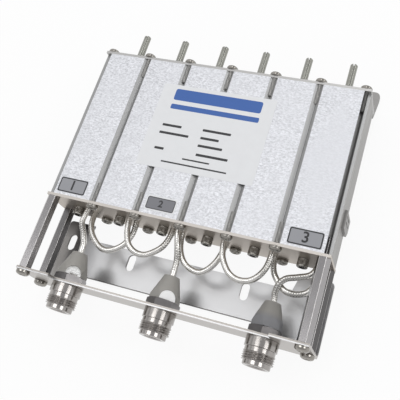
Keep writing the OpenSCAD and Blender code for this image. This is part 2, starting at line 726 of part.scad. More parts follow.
cavity_housing();
near_end_plate();
far_end_plate();
for (i = [0:5]) resonator(i);
for (i = [0:5]) tuning_rod(i);
tuning_bushings();
tuning_lock_nuts();
coupling_loops();
near_plate_screws();
far_plate_screws();
resonator_screws();
standoff(-corner_x, corner_z[1]);  // standoff_upper_left
standoff(corner_x, corner_z[1]);  // standoff_upper_right
standoff(-corner_x, corner_z[0]);  // standoff_lower_left
standoff(corner_x, corner_z[0]);  // standoff_lower_right
front_bracket();
front_bracket_screws();
rear_bracket();
side_clip();
for (i = [0:2]) socket_body(i);
for (i = [0:2]) socket_nut(i);
for (i = [0:2]) socket_insulator(i);
for (i = [0:2]) centre_contact(i);
for (i = [0:2]) cable_hood(i);
for (i = [0:2]) hood_seal(i);
cable(jumper_route_1);  // jumper_cable_1
cable(jumper_route_2);  // jumper_cable_2
cable(jumper_route_3);  // jumper_cable_3
cable(jumper_route_4);  // jumper_cable_4
cable(jumper_route_5);  // jumper_cable_5
cable(high_port_route, port_end(0));  // high_port_cable
cable(antenna_route, port_end(1));  // antenna_cable
cable(low_port_route, port_end(2));  // low_port_cable
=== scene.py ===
"""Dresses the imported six-cavity duplexer: studio, braided cables, threads, screws, labels and metal finishes.

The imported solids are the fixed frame. New pieces are surfaces on a grid of two parameters, from numpy.
"""

import bmesh
import bpy
import numpy as np
from mathutils import Matrix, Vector
from mathutils.geometry import tessellate_polygon


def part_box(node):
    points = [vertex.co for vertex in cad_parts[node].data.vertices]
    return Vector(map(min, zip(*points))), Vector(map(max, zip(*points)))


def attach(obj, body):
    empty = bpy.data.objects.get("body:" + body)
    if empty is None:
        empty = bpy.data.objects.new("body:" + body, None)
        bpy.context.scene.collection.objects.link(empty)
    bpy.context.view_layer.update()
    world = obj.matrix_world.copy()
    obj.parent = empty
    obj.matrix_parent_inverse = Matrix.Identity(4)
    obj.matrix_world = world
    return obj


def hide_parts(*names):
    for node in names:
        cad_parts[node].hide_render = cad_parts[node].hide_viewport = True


bl_info = {
    "name": "Six-Cavity Duplexer",
    "version": (1, 0, 0),
    "blender": (4, 5, 0),
    "location": "3D View > Sidebar > Duplexer",
    "description": "Dresses a packed mobile duplexer with braid, threads, screws, labels and metal finishes",
    "category": "Object",
}

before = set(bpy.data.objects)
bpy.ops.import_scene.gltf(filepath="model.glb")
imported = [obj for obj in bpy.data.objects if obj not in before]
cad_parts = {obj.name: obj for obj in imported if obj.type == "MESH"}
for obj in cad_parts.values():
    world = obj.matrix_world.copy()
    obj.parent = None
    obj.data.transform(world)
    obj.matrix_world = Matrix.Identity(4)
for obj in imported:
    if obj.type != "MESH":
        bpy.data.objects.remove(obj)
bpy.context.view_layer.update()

MM = 0.001
FULL_TURN = 2 * np.pi
CAVITIES = range(1, 7)
SOCKETS = range(1, 4)


def corners(node):
    """A node's lowest and highest corner, in millimetres."""
    low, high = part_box(node)
    return np.array(low) / MM, np.array(high) / MM


def middle_of(node):
    """The middle of a node's box, in millimetres."""
    low, high = corners(node)
    return (low + high) / 2


HOUSING_LOW, HOUSING_HIGH = corners("cavity_housing")
NEAR_Y = corners("near_end_plate")[0][1]
FAR_Y = corners("far_end_plate")[1][1]
FACE_Y = corners("front_bracket")[0][1]
TOP_Z = HOUSING_HIGH[2]
AXIS_Z = (HOUSING_LOW[2] + TOP_Z) / 2
ROD_MIDDLES = [middle_of(f"tuning_rod_{i}") for i in CAVITIES]
SOCKET_MIDDLES = [middle_of(f"socket_body_{i}") for i in SOCKETS]
CAVITY_X = [x for x, _, _ in ROD_MIDDLES]
PITCH = CAVITY_X[1] - CAVITY_X[0]
SHEET_T = 1.5

# The screw grooves' middles and half width, and the two rows of plate screws in them
GROOVE_X = [i * PITCH for i in range(-2, 3)]
GROOVE_HALF = 2.1
ROW_DEPTH = 2.0
ROW_Z = (HOUSING_LOW[2] + ROW_DEPTH, TOP_Z - ROW_DEPTH)
# The round channels in the housing's corners
CHANNEL_R, CHANNEL_IN, CHANNEL_DEPTH = 1.5, 3.2, 2.75
CORNER_X = HOUSING_HIGH[0] - CHANNEL_IN
CORNER_Z = (HOUSING_LOW[2] + CHANNEL_DEPTH, TOP_Z - CHANNEL_DEPTH)
# The front bracket: its foot's length, the window's length and half width, and the notch in its flange
FOOT_L, WINDOW_L, WINDOW_HALF = 30.8, 9.8, 57.1
NOTCH_HALF, NOTCH_DEPTH = 59.0, 6.1

PORT_DROP = SOCKET_MIDDLES[0][2] - AXIS_Z


def port_end(x):
    """The last points of a port's cable: in line with its socket, from outside the hood into it."""
    return [(x, y, PORT_DROP) for y in (-22, -27, -33.5)]


# Cable routes as in the part's source: X, distance from the near plate's front face, height above the axes
ROUTES = {
    "jumper_cable_1": [
        (-55, 1.5, -3), (-55, -3, -2.7), (-53.8, -8.5, -2.2), (-50.5, -13.5, -2), (-44.6, -18, -2),
        (-38.9, -18.6, -2), (-32.5, -14.5, -2), (-29.3, -8, -2), (-29, -3, -2), (-29.5, 1.5, -2),
    ],
    "jumper_cable_2": [
        (-32, 1.5, 2), (-31.6, -3, 2), (-30.3, -8.5, 2), (-27.3, -14, 2), (-22.5, -17, 1.7),
        (-17, -17, 1.3), (-12, -13.5, 0.7), (-9, -9.5, 0.2), (-7.6, -4, -0.6), (-7.4, 1.5, -1),
    ],
    "jumper_cable_3": [
        (-2.4, 1.5, -2), (-1.9, -4, -2.3), (0.2, -10.7, -2.5), (4.8, -16.2, -2.5), (11.9, -18.4, -2.5),
        (16.5, -16, -2.5), (20, -10.5, -2.7), (21.6, -4, -3), (22, 1.5, -3),
    ],
    "jumper_cable_4": [
        (22, 1.5, 2), (22.6, -4, 2), (24.2, -9.5, 2), (28.8, -15.5, 2), (34, -18, 2),
        (39.5, -17.6, 2), (43.6, -14.8, 2), (46.6, -9.8, 2), (47.7, -4, 2), (47.8, 1.5, 2),
    ],
    "jumper_cable_5": [
        (48.3, 1.5, -2.5), (48.8, -4, -2.5), (50.2, -9, -2.5), (53, -12.8, -2.5), (57.6, -16.8, -2.5),
        (63.5, -17.3, -2.5), (69, -14.8, -2.5), (71.6, -9, -2.7), (71.8, -3.5, -3), (71.5, 1.5, -3),
    ],
    "high_port_cable": [
        (-58, 1.5, 0.5), (-58.6, -3, 0.5), (-58.6, -8, 0.5), (-56.2, -13, -0.5), (-54.3, -18, -1.5),
        *port_end(-54),
    ],
    "antenna_cable": [(-3.6, 1.5, 2.5), (-2.6, -4, 2.2), (-1, -10, 1), (0, -16, -1), *port_end(0)],
    "low_port_cable": [
        (71.5, 1.5, 2), (71.5, -3, 2), (69, -7.5, 2), (63.3, -9.8, 1.5), (57.9, -11.8, 1.5), (55, -15, 1),
        (53.8, -19, -1), *port_end(54),
    ],
}
# Where each cable's braid stands out: the middle and half length of each stretch, as shares of its route
ROUGH_STRETCHES = {
    "jumper_cable_1": [(0.88, 0.10)],
    "jumper_cable_2": [(0.80, 0.12)],
    "jumper_cable_3": [(0.12, 0.08)],
    "jumper_cable_4": [(0.80, 0.14)],
    "jumper_cable_5": [(0.16, 0.14), (0.55, 0.12)],
    "high_port_cable": [(0.35, 0.16)],
    "antenna_cable": [(0.42, 0.16)],
    "low_port_cable": [(0.48, 0.55)],
}


# Surfaces


def stand(points, origin, axis="+Y", turn=0):
    """Turns points about Z by turn degrees, then so that Z runs along axis, and moves them to origin."""
    x, y, z = np.moveaxis(np.asarray(points, float), -1, 0)
    cos, sin = np.cos(np.radians(turn)), np.sin(np.radians(turn))
    x, y = x * cos - y * sin, x * sin + y * cos
    sign = 1 if axis == "+Y" else -1
    return np.stack([x, sign * z, -sign * y], -1) + origin


def skin(rings, loop=False):
    """Quads between the closed rings of rings[ring, side, xyz]. Each end gets a fan to its middle or, in a
    loop, the last ring joins the first. Returns points, faces and each corner's share along and round."""
    count, sides = rings.shape[:2]
    side = np.arange(sides)
    pair = np.stack([side, (side + 1) % sides], -1)
    spans = count if loop else count - 1
    low = np.arange(spans)[:, None, None] * sides + pair
    high = (np.arange(1, spans + 1) % count)[:, None, None] * sides + pair
    quads = np.stack([low[..., 0], low[..., 1], high[..., 1], high[..., 0]], -1).reshape(-1, 4)
    round_ = np.stack([side, side + 1, side + 1, side], -1) / sides
    along = np.stack([np.arange(spans)] * 2 + [np.arange(1, spans + 1)] * 2, -1) / max(1, count - 1)
    uv = np.stack([np.repeat(along[:, None], sides, 1), np.repeat(round_[None], spans, 0)], -1)
    points, faces, uvs = [rings.reshape(-1, 3)], [quads], [uv.reshape(-1, 2)]
    if not loop:
        for end, ring in enumerate((0, count - 1)):
            here, ahead = (ring * sides + pair).T
            rim = (ahead, here) if end == 0 else (here, ahead)
            faces.append(np.stack([*rim, np.full(sides, count * sides + end)], -1))
            uvs.append(np.full((3 * sides, 2), float(end)))
            points.append(rings[ring].mean(0)[None])
    return np.concatenate(points), faces, np.concatenate(uvs)


def outward(points, faces):
    """Whether faces point outwards: together with the origin they enclose a positive volume."""
    volume = 0.0
    for part in faces:
        a = points[part[:, 0]]
        for k in range(1, part.shape[1] - 1):
            volume += (a * np.cross(points[part[:, k]], points[part[:, k + 1]])).sum()
    return volume > 0


def surface(name, skins, sharp):
    """A mesh from closed skins, in millimetres, smooth but for edges sharper than the angle sharp."""
    points, loops, starts, uvs = [], [], [], []
    at, first = 0, 0
    for part_points, part_faces, part_uv in skins:
        way = 1 if outward(part_points, part_faces) else -1
        k = 0
        for faces in part_faces:
            sides = faces.shape[1]
            uv = part_uv[k : k + faces.size].reshape(-1, sides, 2)
            k += faces.size
            loops.append((faces[:, ::way] + first).ravel())
            uvs.append(uv[:, ::way].reshape(-1, 2))
            starts.append(at + np.arange(len(faces)) * sides)
            at += faces.size
        points.append(part_points)
        first += len(part_points)
    points, loops = np.concatenate(points) * MM, np.concatenate(loops)
    starts, uvs = np.concatenate(starts), np.concatenate(uvs)
    mesh = bpy.data.meshes.new(name)
    mesh.vertices.add(len(points))
    mesh.vertices.foreach_set("co", points.astype(np.float32).ravel())
    mesh.loops.add(len(loops))
    mesh.loops.foreach_set("vertex_index", loops.astype(np.int32))
    mesh.polygons.add(len(starts))
    mesh.polygons.foreach_set("loop_start", starts.astype(np.int32))
    mesh.update(calc_edges=True)
    layer = mesh.uv_layers.new(name="Surface")
    layer.data.foreach_set("uv", uvs.astype(np.float32).ravel())
    mesh.polygons.foreach_set("use_smooth", np.ones(len(starts), bool))
    mesh.set_sharp_from_angle(angle=np.radians(sharp))
    mesh.validate()
    return mesh


def link(name, data):
    """A new object in the scene."""
    obj = bpy.data.objects.new(name, data)
    bpy.context.scene.collection.objects.link(obj)
    return obj


def add(name, mesh, material, node=None, body="duplexer"):
    """A new piece with its finish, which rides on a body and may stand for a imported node."""
    mesh.materials.clear()
    mesh.materials.append(material)
    obj = link(name, mesh)
    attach(obj, body)
    if node:
        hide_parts(node)
    return obj


def piece(name, skins, material, node=None, body="duplexer", sharp=35):
    """A new piece from closed skins."""
    return add(name, surface(name, skins, sharp), material, node, body)


def lathe(profile, sides, radius=None):
    """Rings round Z from a profile of (radius, height) pairs; radius(r, z, angle) may reshape each ring."""
    angle = np.arange(sides) * FULL_TURN / sides
    r, z = (np.repeat(column[:, None], sides, 1) for column in np.asarray(profile, float).T)
    if radius:
        r = radius(r, z, angle[None])
    return np.stack([r * np.cos(angle), r * np.sin(angle), z], -1)


def thread(r, z, angle, pitch, depth, low, high):
    """A radius with a helical groove: a triangle wave of the height over the pitch less the angle's share of
    a turn, cut flat at its top and bottom, that fades at both ends of its stretch from low to high."""
    turn = (z / pitch - angle / FULL_TURN) % 1
    groove = np.clip(1.25 * (1 - np.abs(2 * turn - 1)) - 0.12, 0, 1)
    fade = np.clip(np.minimum(z - low, high - z) / (0.6 * pitch), 0, 1)
    return r - depth * groove * fade


def path(*stops):
    """A profile through stops of (radius, height). A third number splits the way there into equal steps."""
    points = []
    for r, z, *count in stops:
        if count:
            here = np.array(points[-1], float)
            way = np.array((r, z), float) - here
            points += [tuple(here + way * (k + 1) / count[0]) for k in range(count[0])]
        else:
            points.append((r, z))
    return points


def from_flat(angle):
    """The angle from the middle of the nearest of a hexagon's flats, one of which faces along +X."""
    return (angle + np.pi / 6) % (np.pi / 3) - np.pi / 6


def hexagon(angle, flats):
    """A hexagon's radius: half its width across flats over the cosine of the angle from a flat's middle."""
    return flats / 2 / np.cos(from_flat(angle))


def section_prism(loops, y0, y1):
    """A prism along Y over closed loops of (x, z): its outline, counterclockwise as seen from -Y, then its
    holes, clockwise. Walls run along each loop, and triangles fill both ends."""
    section = np.concatenate(loops)
    count = len(section)
    walls, first = [], 0
    for loop in loops:
        here = first + np.arange(len(loop))
        ahead = first + np.arange(1, len(loop) + 1) % len(loop)
        walls.append(np.stack([here, here + count, ahead + count, ahead], -1))
        first += len(loop)
    ends = np.array(tessellate_polygon([np.insert(loop, 2, 0, axis=1).tolist() for loop in loops]))
    a, b, c = (section[ends[:, k]] for k in range(3))
    area = (b[:, 0] - a[:, 0]) * (c[:, 1] - a[:, 1]) - (b[:, 1] - a[:, 1]) * (c[:, 0] - a[:, 0])
    ends = np.where(area[:, None] < 0, ends[:, ::-1], ends)
    faces = [np.concatenate(walls), ends, ends[:, ::-1] + count]
    points = np.concatenate([np.insert(section, 1, y, axis=1) for y in (y0, y1)])
    return points, faces, np.zeros((sum(part.size for part in faces), 2))


def block(low, high):
    """A box between two corners."""
    (x0, y0, z0), (x1, y1, z1) = low, high
    return section_prism([np.array([(x0, z0), (x1, z0), (x1, z1), (x0, z1)], float)], y0, y1)


def carve(obj, skins, sharp):
    """Cuts closed skins out of a piece."""
    cutter = link("cutter", surface("cutter", skins, sharp))
    cutter.data.materials.append(obj.data.materials[0])
    cut = obj.modifiers.new("Cut", "BOOLEAN")
    cut.operation, cut.object, cut.solver = "DIFFERENCE", cutter, "EXACT"
    shaped = bpy.data.meshes.new_from_object(obj.evaluated_get(bpy.context.evaluated_depsgraph_get()))
    obj.modifiers.clear()
    obj.data = shaped
    shaped.set_sharp_from_angle(angle=np.radians(sharp))
    bpy.data.objects.remove(cutter)


# Finishes


def maths(operation, swapped=False):
    """A method of Wire that adds this Math node, with the other value first where swapped."""

    def method(self, *other):
        values = (*other, self) if swapped else (self, *other)
        return self.nodes.node("ShaderNodeMath", {"operation": operation}, values)

    return method


class Wire:
    """A shader socket that takes part in sums: each operator adds the Math node that works it out."""

    def __init__(self, nodes, socket):
        self.nodes, self.socket = nodes, socket

    __add__ = __radd__ = maths("ADD")
    __sub__, __rsub__ = maths("SUBTRACT"), maths("SUBTRACT", swapped=True)
    __mul__ = __rmul__ = maths("MULTIPLY")
    __truediv__ = maths("DIVIDE")
    __lt__, __gt__ = maths("LESS_THAN"), maths("GREATER_THAN")
    __abs__, nearest, upto = maths("ABSOLUTE"), maths("ROUND"), maths("MINIMUM")

    def clamped(self):
        """The value, kept between 0 and 1."""
        return self.nodes.node("ShaderNodeClamp", None, [self])


class Nodes:
    """A node tree, with one method that adds to it."""

    def __init__(self, tree):
        self.tree = tree

    def node(self, kind, settings=None, values=(), out=0):
        """Adds a node of this type: first its settings, a ramp's stops among them, then its sockets' values
        or links."""
        made = self.tree.nodes.new(kind)
        for key, value in (settings or {}).items():
            if key == "stops":
                ramp = made.color_ramp.elements
                while len(ramp) < len(value):
                    ramp.new(1.0)
                for element, (place, colour) in zip(ramp, value, strict=True):
                    element.position, element.color = place, (*colour, 1)
            else:
                setattr(made, key, value)
        for key, value in values.items() if isinstance(values, dict) else enumerate(values):
            if isinstance(value, Wire):
                self.tree.links.new(value.socket, made.inputs[key])
            else:
                made.inputs[key].default_value = value
        return Wire(self, made.outputs[out])

    def split(self, vector):
        """The three parts of a vector."""
        outputs = self.node("ShaderNodeSeparateXYZ", None, [vector]).socket.node.outputs
        return [Wire(self, output) for output in outputs]


class Finish(Nodes):
    """A node material for one finish, with expressions for what changes over its surface."""

    def __init__(self, name):
        self.material = bpy.data.materials.new(name)
        self.material.use_nodes = True
        super().__init__(self.material.node_tree)
        self.shader = self.tree.nodes["Principled BSDF"]

    def place(self, scale=(1, 1, 1), turn=(0, 0, 0)):
        """Where a point of the piece is, in metres, stretched and turned for a pattern."""
        at = self.node("ShaderNodeTexCoord", out="Object")
        return self.node("ShaderNodeMapping", None, {"Vector": at, "Scale": scale, "Rotation": turn})

    def axes(self):
        """The X, Y and Z of a point, in millimetres."""
        at = self.node("ShaderNodeTexCoord", out="Object")
        return self.split(self.node("ShaderNodeVectorMath", {"operation": "SCALE"}, {0: at, "Scale": 1 / MM}))

    def noise(self, size, detail=2.0, roughness=0.5, scale=(1, 1, 1), turn=(0, 0, 0)):
        """Cloudy noise of about size millimetres, stretched along an axis whose scale is below 1."""
        where = {"Vector": self.place(scale, turn), "Scale": 1 / (size * MM)}
        return self.node("ShaderNodeTexNoise", None, {**where, "Detail": detail, "Roughness": roughness})

    def blend(self, share, a, b):
        """A colour between a and b."""
        a, b = (colour if isinstance(colour, Wire) else (*colour, 1) for colour in (a, b))
        return self.node("ShaderNodeMix", {"data_type": "RGBA"}, {0: share, 6: a, 7: b}, out=2)

    def shades(self, share, colour, low, high):
        """A colour between two shades of one, each given by its factor."""
        return self.blend(share, shade(colour, low), shade(colour, high))

    def bump(self, height, depth, strength):
        """The normal of a surface whose height, from 0 to 1, rises by depth millimetres."""
        return self.node(
            "ShaderNodeBump", None, {"Strength": strength, "Distance": depth * MM, "Height": height}
        )

    def turning_marks(self):
        """The normal of a plated surface with faint fine marks."""
        return self.bump(self.noise(0.25, roughness=0.6), 0.002, 0.4)

    def finish(self, colour, rough, metal=0.0, normal=None, more=()):
        """Sets the shader's sockets to values or links; more has pairs of a further socket and its value."""
        named = [("Base Color", colour), ("Roughness", rough), ("Metallic", metal), ("Normal", normal), *more]
        for key, value in named:
            if isinstance(value, Wire):
                self.tree.links.new(value.socket, self.shader.inputs[key])
            elif value is not None:
                self.shader.inputs[key].default_value = (*value, 1) if key == "Base Color" else value
        return self.material


def shade(colour, factor):
    """A colour made lighter or darker."""
    return tuple(min(1.0, c * factor) for c in colour)


def stippled_lacquer(colour, groove):
    """Bright lacquered extrusion with a stipple of short marks, calmer in a patch on the right. The screw
    grooves are smooth and painted greyer with shade: darker towards the left, on each groove's right flank and
    along a line near the bottom. The outer walls are streaked and darkened with painted shade, the left more
    than the right, and the corners' channels are darkened with painted shade, more on the right."""
    f = Finish("Stippled_lacquer")
    x, y, z = f.axes()
    below = z < TOP_Z - 0.08
    from_middle = x - (x / PITCH).nearest() * PITCH
    groove_here = (abs(from_middle) < GROOVE_HALF + 0.15) * below
    wall = abs(x) > HOUSING_HIGH[0] - 0.05
    channel = (abs(abs(x) - CORNER_X) < CHANNEL_R + 0.02) * below

    calm_x, calm_y = 66.0, 20.0
    calm = (2.4 - abs(x - calm_x) * 0.12 - abs(y - calm_y) * 0.05).clamped()
    marks = f.noise(0.75, 3.0, 0.7, (0.55, 1, 1), (0, 0, 0.35))
    grain = f.noise(0.5, roughness=0.6)
    stipple = ((marks - 0.5) * (f.noise(16.0) * 3.2 + 0.4) + (grain - 0.5) * 0.5) * (1 - calm * 0.7)
    tones = f.shades((stipple + 0.45).upto(1.0), colour, 0.68, 1.24)

    # Painted shade in the screw grooves: greyer than the top, darker towards the left, darker again on each
    # groove's right flank, and a darker line near the bottom
    streak = f.noise(1.2, scale=(1, 0.03, 1))
    rightwards = (x / 120.0 + 0.5).clamped()
    smooth = f.shades(streak * 0.3 + rightwards * 0.7, groove, 0.6, 1.15)
    smooth = f.blend((from_middle > 0.45) * 0.8, smooth, shade(groove, 0.75))
    smooth = f.blend(abs(from_middle - 0.2) < 0.25, smooth, shade(groove, 0.5))
    tones = f.blend(groove_here, tones, smooth)

    # Painted shade on the outer walls over their lengthwise streaks, the left wall darker than the right;
    # painted shade in the corners' channels, darker on the right
    dull = (streak * 2.4 - 0.7).clamped()
    shaded_left_wall = f.blend(dull, (0.18, 0.175, 0.17), (0.28, 0.273, 0.265))
    shaded_right_wall = f.blend(dull, (0.20, 0.195, 0.187), (0.37, 0.362, 0.347))
    tones = f.blend(wall, tones, f.blend(x > 0.0, shaded_left_wall, shaded_right_wall))
    channel_shade = f.blend(x > 0.0, (0.55, 0.55, 0.54), (0.28, 0.28, 0.276))
    tones = f.blend(channel, tones, channel_shade)
    rough = 0.42 + grain * 0.14 - groove_here * 0.12
    normal = f.bump((marks * 0.8 + grain * 0.3) * (1 - groove_here), 0.16, 0.6)
    return f.finish(tones, rough, 0.72, normal)


def brushed(name, colour, rough, depth, spread=0.05, metal=0.85, stretch=0.2, size=2.5, face=None, more=None):
    """Satin metal: fine streaks along X and soft clouds in tone and gloss. face gives the colour of a front
    darkened with painted shade, its Y, and the X past which the ends take that painted shade too; more(f,
    level) adds further tones."""
    f = Finish(name)
    streak = f.noise(size, 3.0, 0.6, (stretch, 1, 1))
    tone = (streak * 0.35 + f.noise(14.0) * 0.65).upto(1.0)
    level = f.shades(tone, colour, 1 - spread, 1 + spread)
    if more:
        level = more(f, level)
    # Painted shade: the front face and the ends take the darker front colour
    if face:
        front, face_y, end_x = face
        x, y, _ = f.axes()
        here = ((y < face_y + 0.03) + (abs(x) > end_x - 0.03)).upto(1.0)
        level = f.blend(here, level, f.shades(tone, front, 1 - spread, 1 + spread))
    return f.finish(level, rough - 0.03 + streak * 0.06, metal, f.bump(streak, depth, 0.5))


def foot_shade_tones(f, level):
    """The front bracket's painted shade and shadow: its foot darker towards the window, with a dark rim of
    painted shade there, a brown painted shadow on the left wing with a darker middle, painted shade on the cut
    edges, and the inner half of the flange's upper edge darker."""
    colour, front = colours().sheet, colours().shaded_sheet_front
    x, y, z = f.axes()
    foot = z < 2.5
    # Painted shade: the foot darker towards the window
    rearwards = ((y - (FACE_Y + 8)) / 20.0).clamped()
    level = f.blend(foot * (1 - rearwards) * 0.7, level, shade(colour, 0.74))
    # A painted shadow on the left wing: broad and brown, darker in its middle
    shadow_x, shadow_y = -76, -31
    off_x, off_y = abs(x - shadow_x), abs(y - shadow_y)
    on_wing = ((-58.0 - x) * 0.16).clamped()
    brown = (1.55 - (off_x * 0.06 + off_y * 0.02)).clamped()
    level = f.blend(brown * on_wing * foot * 0.9, level, shade(front, 0.42))
    dark = (1.1 - off_y * 0.11 - off_x * 0.02).clamped()
    level = f.blend(dark * on_wing * foot * 0.9, level, shade(front, 0.1))
    # Painted shade along the window's rim and on the cut edges of the sheet
    window_y = FACE_Y + WINDOW_L
    rim = foot * (y > window_y - 0.05) * (y < window_y + 0.36) * (abs(x) < WINDOW_HALF + 0.1)
    cut = (z > 0.06) * (z < SHEET_T - 0.06) * (y > FACE_Y + 3)
    level = f.blend((cut + rim).upto(1.0), level, shade(front, 0.2))
    # The inner half of the flange's upper edge darker
    inner = (z > TOP_Z - NOTCH_DEPTH - 0.05) * (y > FACE_Y + SHEET_T * 0.43)
    return f.blend(inner, level, shade(front, 0.8))


def dull_sheet(name):
    """The duller satin of the rear bracket and the clip."""
    return brushed(name, colours().dull_sheet, rough=0.5, depth=0.004)


def polished(name, colour, rough, soil):
    """Plated metal with faint turning marks, a little duller in soft patches."""
    f = Finish(name)
    patch = f.noise(2.4)
    tones = f.shades(patch, colour, 1 + soil / 2, 1 - soil / 2)
    return f.finish(tones, rough + patch * 0.06, 1.0, f.turning_marks())


def plated_screw(head, shank):
    """Plated screws: shanks between the end plates lighter than the heads, as painted light, and those in the
    corners' channels darker, as painted shade.
    """
    f = Finish("Plated_screw")
    x, y, _ = f.axes()
    patch = f.noise(2.4)
    # Painted light on the shanks in the grooves, lighter than the heads; painted shade on the shanks in the
    # corners' channels
    between = (y > NEAR_Y + 0.1) * (y < FAR_Y - 0.1)
    inside = f.blend(abs(x) > CORNER_X - 2, shank, shade(shank, 0.4))
    tones = f.blend(between, f.shades(patch, head, 1.1, 0.9), inside)
    return f.finish(tones, 0.14 + between * 0.2 + patch * 0.05, 1.0, f.turning_marks())


def hexagon_steel(name, colour, right):
    """Drawn hexagonal bar: even flats with faint lengthwise streaks; the flats on the right changed by a
    factor, as painted light where it is above 1 and painted shade where it is below; a painted highlight on the
    edges; and painted shade on the stud behind the near plate's face."""
    f = Finish(name)
    flat_count = f.split(f.node("ShaderNodeUVMap", {"uv_map": "Surface"}))[1] * 6.0 + 0.5
    edge = abs(flat_count - flat_count.nearest()) < 0.035
    right_side = ((flat_count < 1.0) + (flat_count > 6.0)).upto(1.0)
    streak = f.noise(0.5, scale=(1, 0.02, 1))
    cloud = f.noise(9.0)
    flat = f.shades((streak * 0.5 + cloud * 0.5).upto(1.0), colour, 0.88, 1.12)
    # The right flats: painted light where right is above 1, painted shade where it is below
    flat = f.blend(right_side * 0.6, flat, shade(colour, right))
    # Painted shade on the stud behind the near plate's face
    flat = f.blend(f.axes()[1] > NEAR_Y + 0.1, flat, shade(colour, 0.2))
    # A painted highlight along the edges
    tones = f.blend(edge, flat, (0.72, 0.70, 0.69))
    return f.finish(tones, 0.2 + cloud * 0.06 + edge * 0.12, 1.0, f.bump(streak, 0.001, 0.2))


def cast_metal(name, colour, low):
    """Matt grey casting with a fine sandy grain; its colour changes to low over the flats at its base."""
    f = Finish(name)
    sand = f.noise(0.35, 3.0, 0.7)
    cast = f.shades((sand * 0.4 + f.noise(5.0) * 0.6).upto(1.0), colour, 0.86, 1.12)
    at_base = ((FACE_Y + 12.5 - f.axes()[1]) * 0.35).clamped()
    return f.finish(f.blend(at_base, cast, low), 0.5 + sand * 0.12, 0.35, f.bump(sand, 0.05, 0.6))


def tinned_braid(colour, soil):
    """Tin-dipped braid: bright and a little uneven, with painted shade in the colour soil in the hollows
    between the strands.
    """
    f = Finish("Tinned_braid")
    hollow = f.node("ShaderNodeAttribute", {"attribute_name": "Hollow"}, out="Fac")
    dull = f.noise(2.2)
    # Painted shade in the hollows between the strands
    tones = f.blend(hollow * 0.85, f.shades(dull, colour, 0.75, 1), soil)
    return f.finish(tones, 0.17 + dull * 0.12, 1.0, f.bump(dull, 0.05, 0.3))


def sealing_compound(name, colour, grit):
    """White compound that set unevenly, with small dark pits."""
    f = Finish(name)
    lumps = f.noise(0.7, 4.0, 0.7)
    tones = f.shades((lumps > 0.62) * grit, colour, 1, 0.45)
    return f.finish(tones, 0.75, normal=f.bump(lumps, 0.12, 0.6))


def printed_film(name, colour, gloss):
    """Printed label film: an even colour with a faint unevenness in tone and gloss."""
    f = Finish(name)
    mottle = f.noise(4.0, 3.0)
    tones, rough = f.shades(mottle, colour, 0.97, 1.03), gloss + mottle * 0.1
    return f.finish(tones, rough, normal=f.bump(f.noise(0.3), 0.02, 0.3), more=[("Coat Weight", 0.25)])


# What a user may change


def length_property(name, description, millimetres):
    """A length that a user may change."""
    return bpy.props.FloatProperty(
        name=name, description=description, default=millimetres * MM, unit="LENGTH"
    )


def colour_property(name, default):
    """A colour that a user may change."""
    description = f"Colour of the {name.lower()}"
    return bpy.props.FloatVectorProperty(
        name=name, description=description, default=default, size=3, min=0, max=1, subtype="COLOR"
    )


class DuplexerSizes(bpy.types.PropertyGroup):
    """Sizes of the fine detail that this scene gives the pieces."""

    cable_d: length_property("Cable", "Diameter of the braided cables", 3.2)
    braid_depth: length_property("Braid", "Depth of the braid where it stands out", 0.17)
    braid_pitch: length_property("Braid scale", "Length of one scale of the braid", 1.25)
    socket_pitch: length_property("Socket thread", "Pitch of the sockets' thread, 24 to the inch", 1.058)
    rod_pitch: length_property("Rod thread", "Pitch of the tuning rods' thread, 32 to the inch", 0.794)
    screw_pitch: length_property("Screw thread", "Pitch of the plate screws' thread", 0.8)
    label_t: length_property("Label", "Thickness of the label film", 0.12)


class DuplexerColours(bpy.types.PropertyGroup):
    """Colours of the finishes, as a neutral light shows them; the grooves', the faces' and the cable hollows'
    colours hold painted shade, and the shanks' painted light.
    """

    housing: colour_property("Housing", (0.755, 0.765, 0.795))
    # Greyer than the housing: painted shade in the grooves
    groove: colour_property("Screw grooves", (0.50, 0.502, 0.50))
    plate: colour_property("End plates", (0.53, 0.50, 0.465))
    # Darker than the plate: painted shade on the near plate's face
    shaded_plate_front: colour_property("Near plate's face", (0.48, 0.43, 0.375))
    far_plate: colour_property("Far plate", (0.47, 0.465, 0.455))
    dull_sheet: colour_property("Rear bracket and clip", (0.34, 0.333, 0.325))
    sheet: colour_property("Bracket sheet", (0.565, 0.565, 0.57))
    # Darker than the sheet: painted shade on the flange's face, and the base of the foot's painted shade and
    # shadow
    shaded_sheet_front: colour_property("Flange's face", (0.42, 0.395, 0.37))
    steel: colour_property("Stand-off rods", (0.235, 0.228, 0.23))
    screw: colour_property("Screws", (0.31, 0.295, 0.27))
    # Lighter than the screws: painted light on the shanks
    shank: colour_property("Screw shanks", (0.44, 0.435, 0.42))
    nickel: colour_property("Sockets", (0.365, 0.347, 0.332))
    nut: colour_property("Nuts", (0.23, 0.22, 0.22))
    rod: colour_property("Tuning rods", (0.31, 0.31, 0.28))
    hood: colour_property("Cable hoods", (0.37, 0.358, 0.333))
    braid: colour_property("Cables", (0.84, 0.825, 0.79))
    # Painted shade in the cables' hollows
    braid_hollow_shade: colour_property("Cable hollows", (0.13, 0.125, 0.115))
    compound: colour_property("Sealing compound", (0.97, 0.97, 0.96))
    brass: colour_property("Brass", (0.62, 0.47, 0.22))
    copper: colour_property("Copper", (0.66, 0.34, 0.20))
    film: colour_property("Large label", (0.78, 0.79, 0.80))
    badge: colour_property("Side labels", (0.30, 0.305, 0.325))
    badge_dark: colour_property("Middle label", (0.185, 0.187, 0.205))
    ink: colour_property("Dark print", (0.02, 0.02, 0.022))
    blue: colour_property("Blue print", (0.03, 0.115, 0.40))


def sizes():
    """The sizes as the user set them."""
    return bpy.context.scene.duplexer_sizes


def colours():
    """The colours as the user set them."""
    return bpy.context.scene.duplexer_colours


